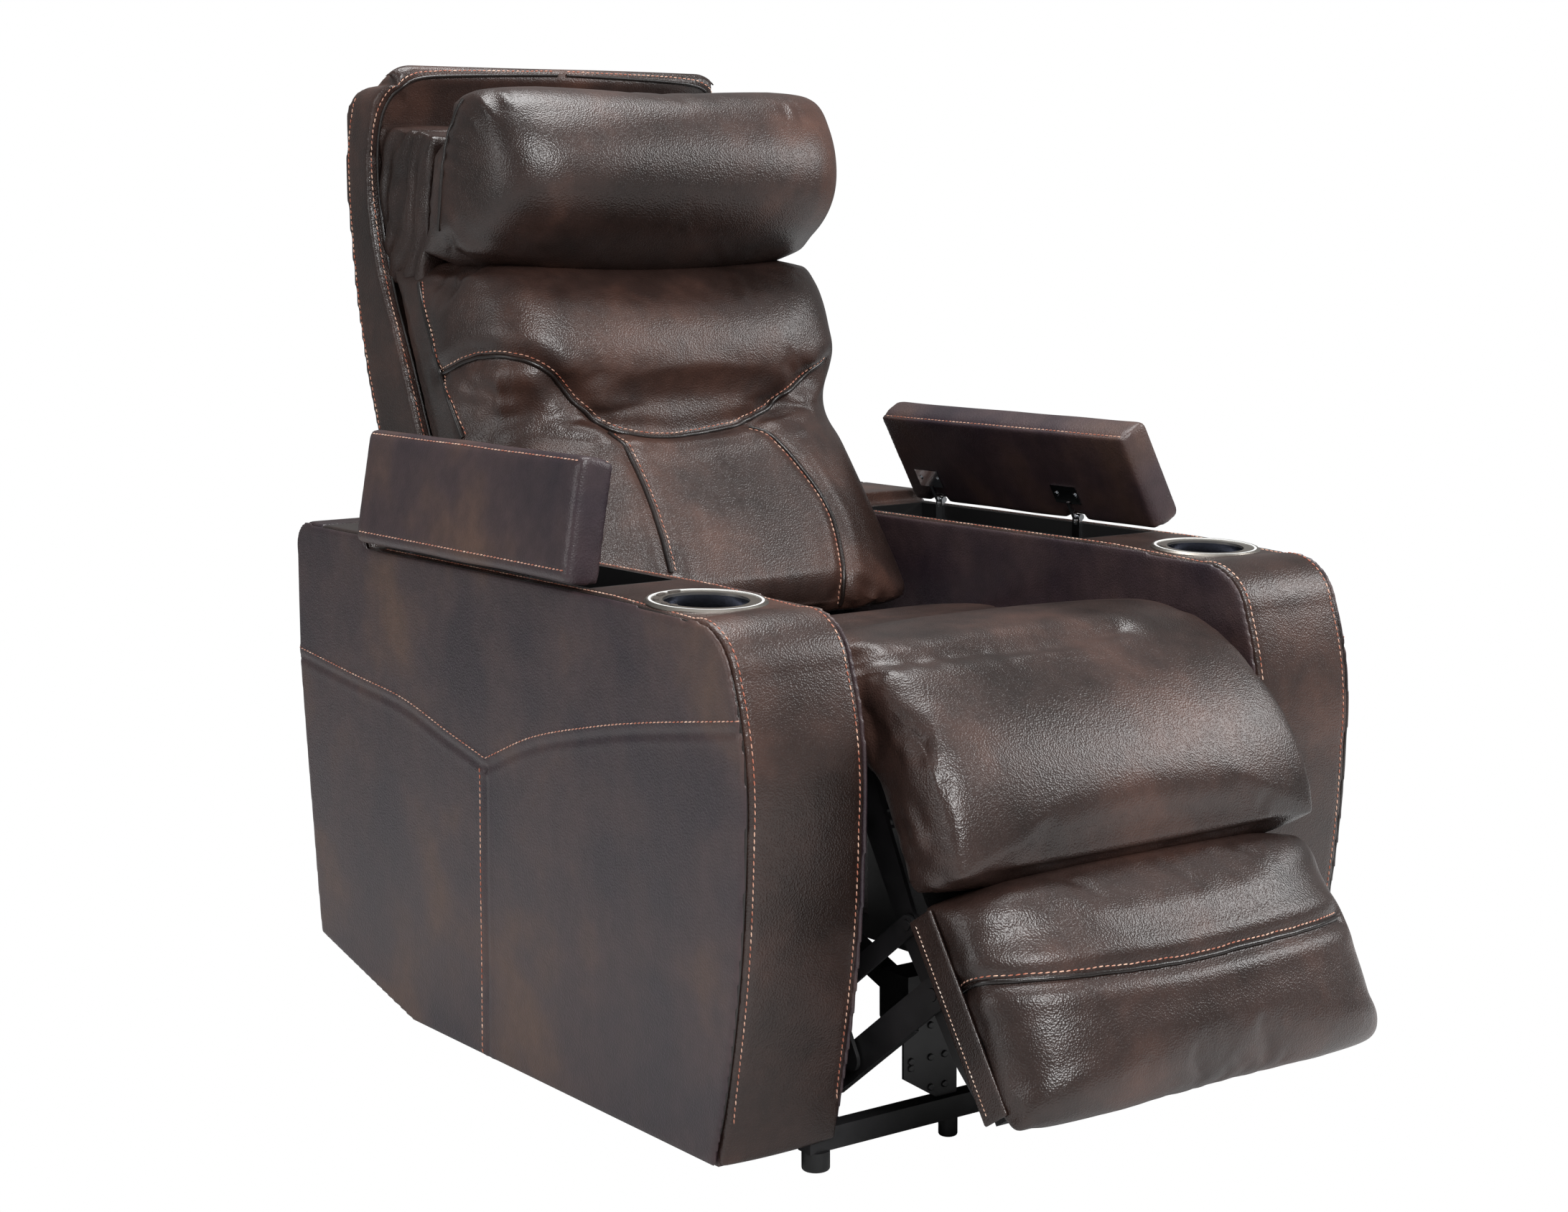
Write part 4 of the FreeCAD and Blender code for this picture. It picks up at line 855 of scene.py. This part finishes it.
def make_headrest():
    cushion = cover("headrest_cover", ["headrest_cushion"], COVER, 6.0, 14)
    co = drawn(points(cushion))
    rear = 1 - smooth_step(co[:, 1], 790, 850)
    low = 1 - smooth_step(co[:, 2], 880, 930)
    shrink(cushion, 2.0)
    puff(cushion, pressure=4.0, cap_mm=6.0 + 8.0 * rear + 6.0 * low)
    apply_modifier(cushion, "SMOOTH", factor=0.5, iterations=2)
    lift_ends(cushion, rise_mm=16.0, low=(0, 1), high=(870, 980))
    crumple(cushion, HEAD_FOLDS, height_mm=2.6, width_mm=5.0)
    apply_modifier(cushion, "SUBSURF", levels=1, render_levels=1)
    dress(cushion, "headrest", nodes=["headrest_cushion"])
    tree = skin_tree(cushion)
    near = seen_on(tree, HEAD_PIPING_PIXELS)
    for index, edge in enumerate((near, near * np.array([-1, 1, 1]))):
        made = tube("headrest_piping_%d" % index, laid_on(tree, edge[::6]), 2.4, PIPING)
        dress(made, "headrest")


GUSSET_HALF = 236
GUSSET_SOLID_HALF = 214
GUSSET_MIDDLE_Z = 930.0
GUSSET_SOLID_MIDDLE_Z = 922.0
GUSSET_TALLER = 1.42
PLEAT_PITCH = 34
PLEAT_SLANT = 0.45
PLEAT_HEIGHT = 2.0


def make_gusset():
    """The gathered band between shell and headrest: wider and taller than its solid, and pleated across."""
    gusset = cover("headrest_gusset_cover", ["headrest_gusset"], COVER, 4.0, 4)
    co = points(gusset)
    co[:, 0] *= GUSSET_HALF / GUSSET_SOLID_HALF
    co[:, 2] = GUSSET_MIDDLE_Z * MM + (co[:, 2] - GUSSET_SOLID_MIDDLE_Z * MM) * GUSSET_TALLER
    set_points(gusset, co)
    depth, rise = drawn(co)[:, 1], drawn(co)[:, 2]
    waver = 1.3 * np.sin(rise / 23) + 0.9 * np.sin(depth / 11)
    pleats = np.sin(2 * math.pi * (depth + PLEAT_SLANT * rise) / PLEAT_PITCH + waver)
    set_points(gusset, co + normals(gusset) * (PLEAT_HEIGHT * pleats * MM)[:, None])
    ripple(gusset, height_mm=1.0, size_mm=60.0, seed=21)
    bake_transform(gusset)
    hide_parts("headrest_gusset")


# Seat and footrest

SEAT_CREASE = [(1165, 922), (1250, 917), (1350, 905), (1450, 892), (1560, 874)]
SEAT_FOLDS = [((1240, 915), (1290, 935)), ((1262, 905), (1340, 930)), ((1380, 905), (1520, 890)),
              ((1420, 915), (1560, 905))]
BRIDGE_FOLDS = [((1245, 1185), (1300, 1160)), ((1250, 1215), (1330, 1240)), ((1262, 1130), (1290, 1190))]
TRIM_X = 235.0
TRIM_THICK = 4.0
TRIM_START = 38.0
TRIM_LONG = 202.0
TRIM_DEEP = 36.0
TRIM_OUT = 20.0
TRIM_SEAM_IN = 9.0
FOOT_TOP_RISE = 9.0
FOOT_SEAM_PIXELS = [(1322, 1392), (1345, 1375), (1372, 1368), (1450, 1362), (1550, 1352), (1650, 1337),
                    (1750, 1312), (1830, 1290), (1893, 1265)]
FOOT_FOLDS = [((1385, 1585), (1440, 1560)), ((1345, 1420), (1375, 1450))]


def make_seat():
    rear = cover("seat_rear_cover", ["seat_rear_cushion"], COVER, 6.0, 6)
    co = drawn(points(rear))
    shrink(rear, 3.0)
    puff(rear, pressure=4.0, cap_mm=3.0 + 4.0 * smooth_step(co[:, 2], 420, 440), frames=10)
    dress(rear, "base", nodes=["seat_rear_cushion"])

    front = cover("seat_front_cover", ["seat_front_cushion", "bridge_pad"], COVER, 6.0, 18,
                  filled=("bridge_pad", "seat_front_cushion"))
    co = drawn(points(front))
    top = smooth_step(co[:, 2] - co[:, 1] * 0.25, 330, 400)
    fall = smooth_step(-co[:, 2], -330, -260)
    shrink(front, 4.0)
    puff(front, pressure=4.0, cap_mm=5.0 + 9.0 * np.maximum(top, fall))
    apply_modifier(front, "SMOOTH", factor=0.5, iterations=2)
    crease = seen_on(skin_tree(front), SEAT_CREASE)
    groove(front, crease, depth_mm=6.0, width_mm=14.0, lift_mm=1.5)
    crumple(front, SEAT_FOLDS, height_mm=1.6, width_mm=8.0)
    crumple(front, BRIDGE_FOLDS, height_mm=3.0, width_mm=7.0)
    apply_modifier(front, "SUBSURF", levels=1, render_levels=1)
    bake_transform(front)
    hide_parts("seat_front_cushion", "bridge_pad")


def make_trim(side):
    """Leather-wrapped strip behind the side of the footrest pad, with a cream row of stitches."""
    name = "left" if side < 0 else "right"
    bpy.ops.object.select_all(action="DESELECT")
    bpy.ops.mesh.primitive_cube_add(size=1)
    trim = bpy.context.object
    trim.name = "footrest_side_trim_" + name
    sizes = Vector((TRIM_THICK, TRIM_LONG, TRIM_DEEP)) * MM
    top, down, out = Vector(BOARD_TOP), Vector(BOARD_WAY), Vector(BOARD_OUT)
    centre = top + down * (TRIM_START + TRIM_LONG / 2) + out * TRIM_OUT
    turn = Matrix(((1, 0, 0), (0, BOARD_WAY[0], BOARD_OUT[0]), (0, BOARD_WAY[1], BOARD_OUT[1]))).to_4x4()
    trim.matrix_world = (Matrix.Translation(at(side * TRIM_X, centre.x, centre.y)) @ turn
                         @ Matrix.Diagonal((*sizes, 1.0)))
    bpy.ops.object.transform_apply(location=True, rotation=True, scale=True)
    bpy.ops.object.mode_set(mode="EDIT")
    bpy.ops.mesh.select_all(action="SELECT")
    bpy.ops.mesh.normals_make_consistent(inside=False)
    bpy.ops.object.mode_set(mode="OBJECT")
    apply_modifier(trim, "BEVEL", width=1.4 * MM, segments=3)
    apply_modifier(trim, "REMESH", mode="VOXEL", voxel_size=1.2 * MM)
    apply_modifier(trim, "SMOOTH", factor=0.5, iterations=4)
    trim.data.materials.append(COVER)
    bpy.ops.object.shade_smooth()
    tree = skin_tree(trim)
    seam_out = out * (TRIM_OUT - TRIM_SEAM_IN)
    spots = [top + down * (TRIM_START + TRIM_LONG * t) + seam_out for t in (0.03, 0.5, 0.97)]
    row = laid_on(tree, [at(side * (TRIM_X + TRIM_THICK), spot.x, spot.y) for spot in spots])
    made = stitches("footrest_trim_stitches_" + name, [row], [tree], PALE_THREAD, pitch_mm=4.6, long_mm=3.2,
                    thick_mm=1.1)
    dress(trim, "footrest")
    dress(made, "footrest")


def make_footrest():
    pad = cover("footrest_cover", ["footrest_pad"], COVER, 5.5, 4)
    co = drawn(points(pad))
    out = (co[:, 1] - BOARD_TOP[0]) * BOARD_OUT[0] + (co[:, 2] - BOARD_TOP[1]) * BOARD_OUT[1]
    along = (co[:, 1] - BOARD_TOP[0]) * BOARD_WAY[0] + (co[:, 2] - BOARD_TOP[1]) * BOARD_WAY[1]
    shrink(pad, 4.0)
    face = smooth_step(out, 30, 70)
    upper_end = smooth_step(-along, -30, 0)
    puff(pad, pressure=4.0, cap_mm=5.0 + 5.0 * np.maximum(face, upper_end))
    apply_modifier(pad, "SMOOTH", factor=0.5, iterations=2)
    full = 1 - smooth_step(along, 40, 120)
    rise = FOOT_TOP_RISE * MM
    set_points(pad, points(pad) - np.outer(full, (0, BOARD_WAY[0] * rise, BOARD_WAY[1] * rise)))
    tree = skin_tree(pad)
    seam = seen_on(tree, FOOT_SEAM_PIXELS)
    groove(pad, seam, depth_mm=5.0, width_mm=9.0, lift_mm=2.0)
    crumple(pad, FOOT_FOLDS, height_mm=2.5, width_mm=6.0)
    apply_modifier(pad, "SUBSURF", levels=1, render_levels=1)
    tree = skin_tree(pad)
    seam = laid_on(tree, seam)
    row = offset_line(tree, seam, 6.0)
    made = stitches("footrest_stitches", [row], [tree], THREAD)
    dress(pad, "footrest", nodes=["footrest_pad"])
    dress(made, "footrest")
    made = tube("footrest_welt", seam, 3.0, PIPING)
    dress(made, "footrest")
    for side in (-1, 1):
        make_trim(side)
    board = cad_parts["footrest_board"]
    board.data.materials.clear()
    board.data.materials.append(DUST_CLOTH)


# Metal, plastic and other solids that keep their shape

def finish_solids():
    finishes = {
        BLACK_STEEL: ["base_frame", "mechanism_plates", "seat_frame", "motor_bracket", "footrest_brackets",
                      "crank_links", "torque_tube", "front_cranks", "channel_links", "upper_rods",
                      "back_brackets", "footrest_carriage", "headrest_brackets", "headrest_hinge_arms"],
        BLACK_PLASTIC: ["glide_feet", "footrest_actuator", "back_actuator", "power_inlet", "storage_box_left",
                        "storage_box_right"],
        SPRING_STEEL: ["seat_springs", "back_rod"],
        CHROME: ["lid_hinge_arms_left", "lid_hinge_arms_right", "lid_hinge_feet"],
        NICKEL: ["cup_flange_left", "cup_flange_right"],
        DARK_NICKEL: ["cup_liner_left", "cup_liner_right"],
        DIFFUSER: ["cup_light_ring_left", "cup_light_ring_right"],
        KEY_PLASTIC: [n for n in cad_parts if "_key" in n],
    }
    for material, names in finishes.items():
        for name in names:
            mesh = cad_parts[name].data
            mesh.materials.clear()
            mesh.materials.append(material)


LED_RADIUS = 40.6
LED_THICK = 2.0
LED_BELOW_RIM = 16
LED_FORWARD = 1.0


def make_cup_light(name):
    """Ring of diodes under the rim of the cup."""
    low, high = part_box("cup_liner_" + name)
    centre = (low + high) / 2
    bpy.ops.object.select_all(action="DESELECT")
    place = (centre.x, centre.y - LED_FORWARD * MM, high.z - LED_BELOW_RIM * MM)
    bpy.ops.mesh.primitive_torus_add(major_radius=LED_RADIUS * MM, minor_radius=LED_THICK / 2 * MM,
                                     major_segments=64, minor_segments=8, location=place)
    ring = bpy.context.object
    ring.name = "cup_led_ring_" + name
    bpy.ops.object.transform_apply(location=True)
    ring.data.materials.append(LED)
    bpy.ops.object.shade_smooth()
    dress(ring, "base")


# Room and light

def make_room():
    bpy.ops.mesh.primitive_plane_add(size=30)
    floor = bpy.context.object
    floor.name = "floor"
    material, tree = new_material("pale_floor")
    path = add_node(tree, "ShaderNodeLightPath")
    matt = add_node(tree, "ShaderNodeBsdfPrincipled", Base_Color=grey(0.62), Roughness=0.7)
    white = add_node(tree, "ShaderNodeEmission", Color=grey(1.0), Strength=1.0)
    finish_material(tree, add_node(tree, "ShaderNodeMixShader", Fac=path.outputs["Is Camera Ray"],
                                   i1=matt.outputs[0], i2=white.outputs[0]))
    floor.data.materials.append(material)

    world = bpy.data.worlds.new("studio")
    bpy.context.scene.world = world
    world.use_nodes = True
    tree = world.node_tree
    tree.nodes.clear()
    path = add_node(tree, "ShaderNodeLightPath")
    soft = add_node(tree, "ShaderNodeBackground", Color=grey(1.0), Strength=0.26)
    white = add_node(tree, "ShaderNodeBackground", Color=grey(1.0), Strength=1.0)
    both = add_node(tree, "ShaderNodeMixShader", Fac=path.outputs["Is Camera Ray"], i1=soft.outputs[0],
                    i2=white.outputs[0])
    add_node(tree, "ShaderNodeOutputWorld", Surface=both.outputs[0])


def lamp(name, place, target, size, power):
    data = bpy.data.lights.new(name, "AREA")
    data.shape = "RECTANGLE"
    data.size, data.size_y = size
    data.energy = power
    obj = bpy.data.objects.new(name, data)
    bpy.context.scene.collection.objects.link(obj)
    way = Vector(place) - Vector(target)
    obj.matrix_world = Matrix.Translation(Vector(place)) @ way.to_track_quat("Z", "Y").to_matrix().to_4x4()


def make_lights():
    aim = (0, 0, 0.6)
    lamp("key_softbox", (-0.9, -2.9, 2.6), aim, (1.3, 0.9), 122)
    lamp("right_softbox", (2.6, -1.6, 2.2), aim, (1.0, 1.4), 58)
    lamp("top_softbox", (0.2, 0.4, 3.2), aim, (1.8, 1.2), 84)
    lamp("left_fill", (-3.2, 0.4, 1.4), aim, (1.4, 1.6), 24)


make_camera()
make_arm(-1, "left")
make_arm(1, "right")
make_arm_rears()
make_lid(-1, "left")
make_lid(1, "right")
make_shell()
make_back_cushion()
make_headrest()
make_gusset()
make_seat()
make_footrest()
finish_solids()
make_cup_light("left")
make_cup_light("right")
make_room()
make_lights()
bpy.context.scene.view_settings.view_transform = "Standard"
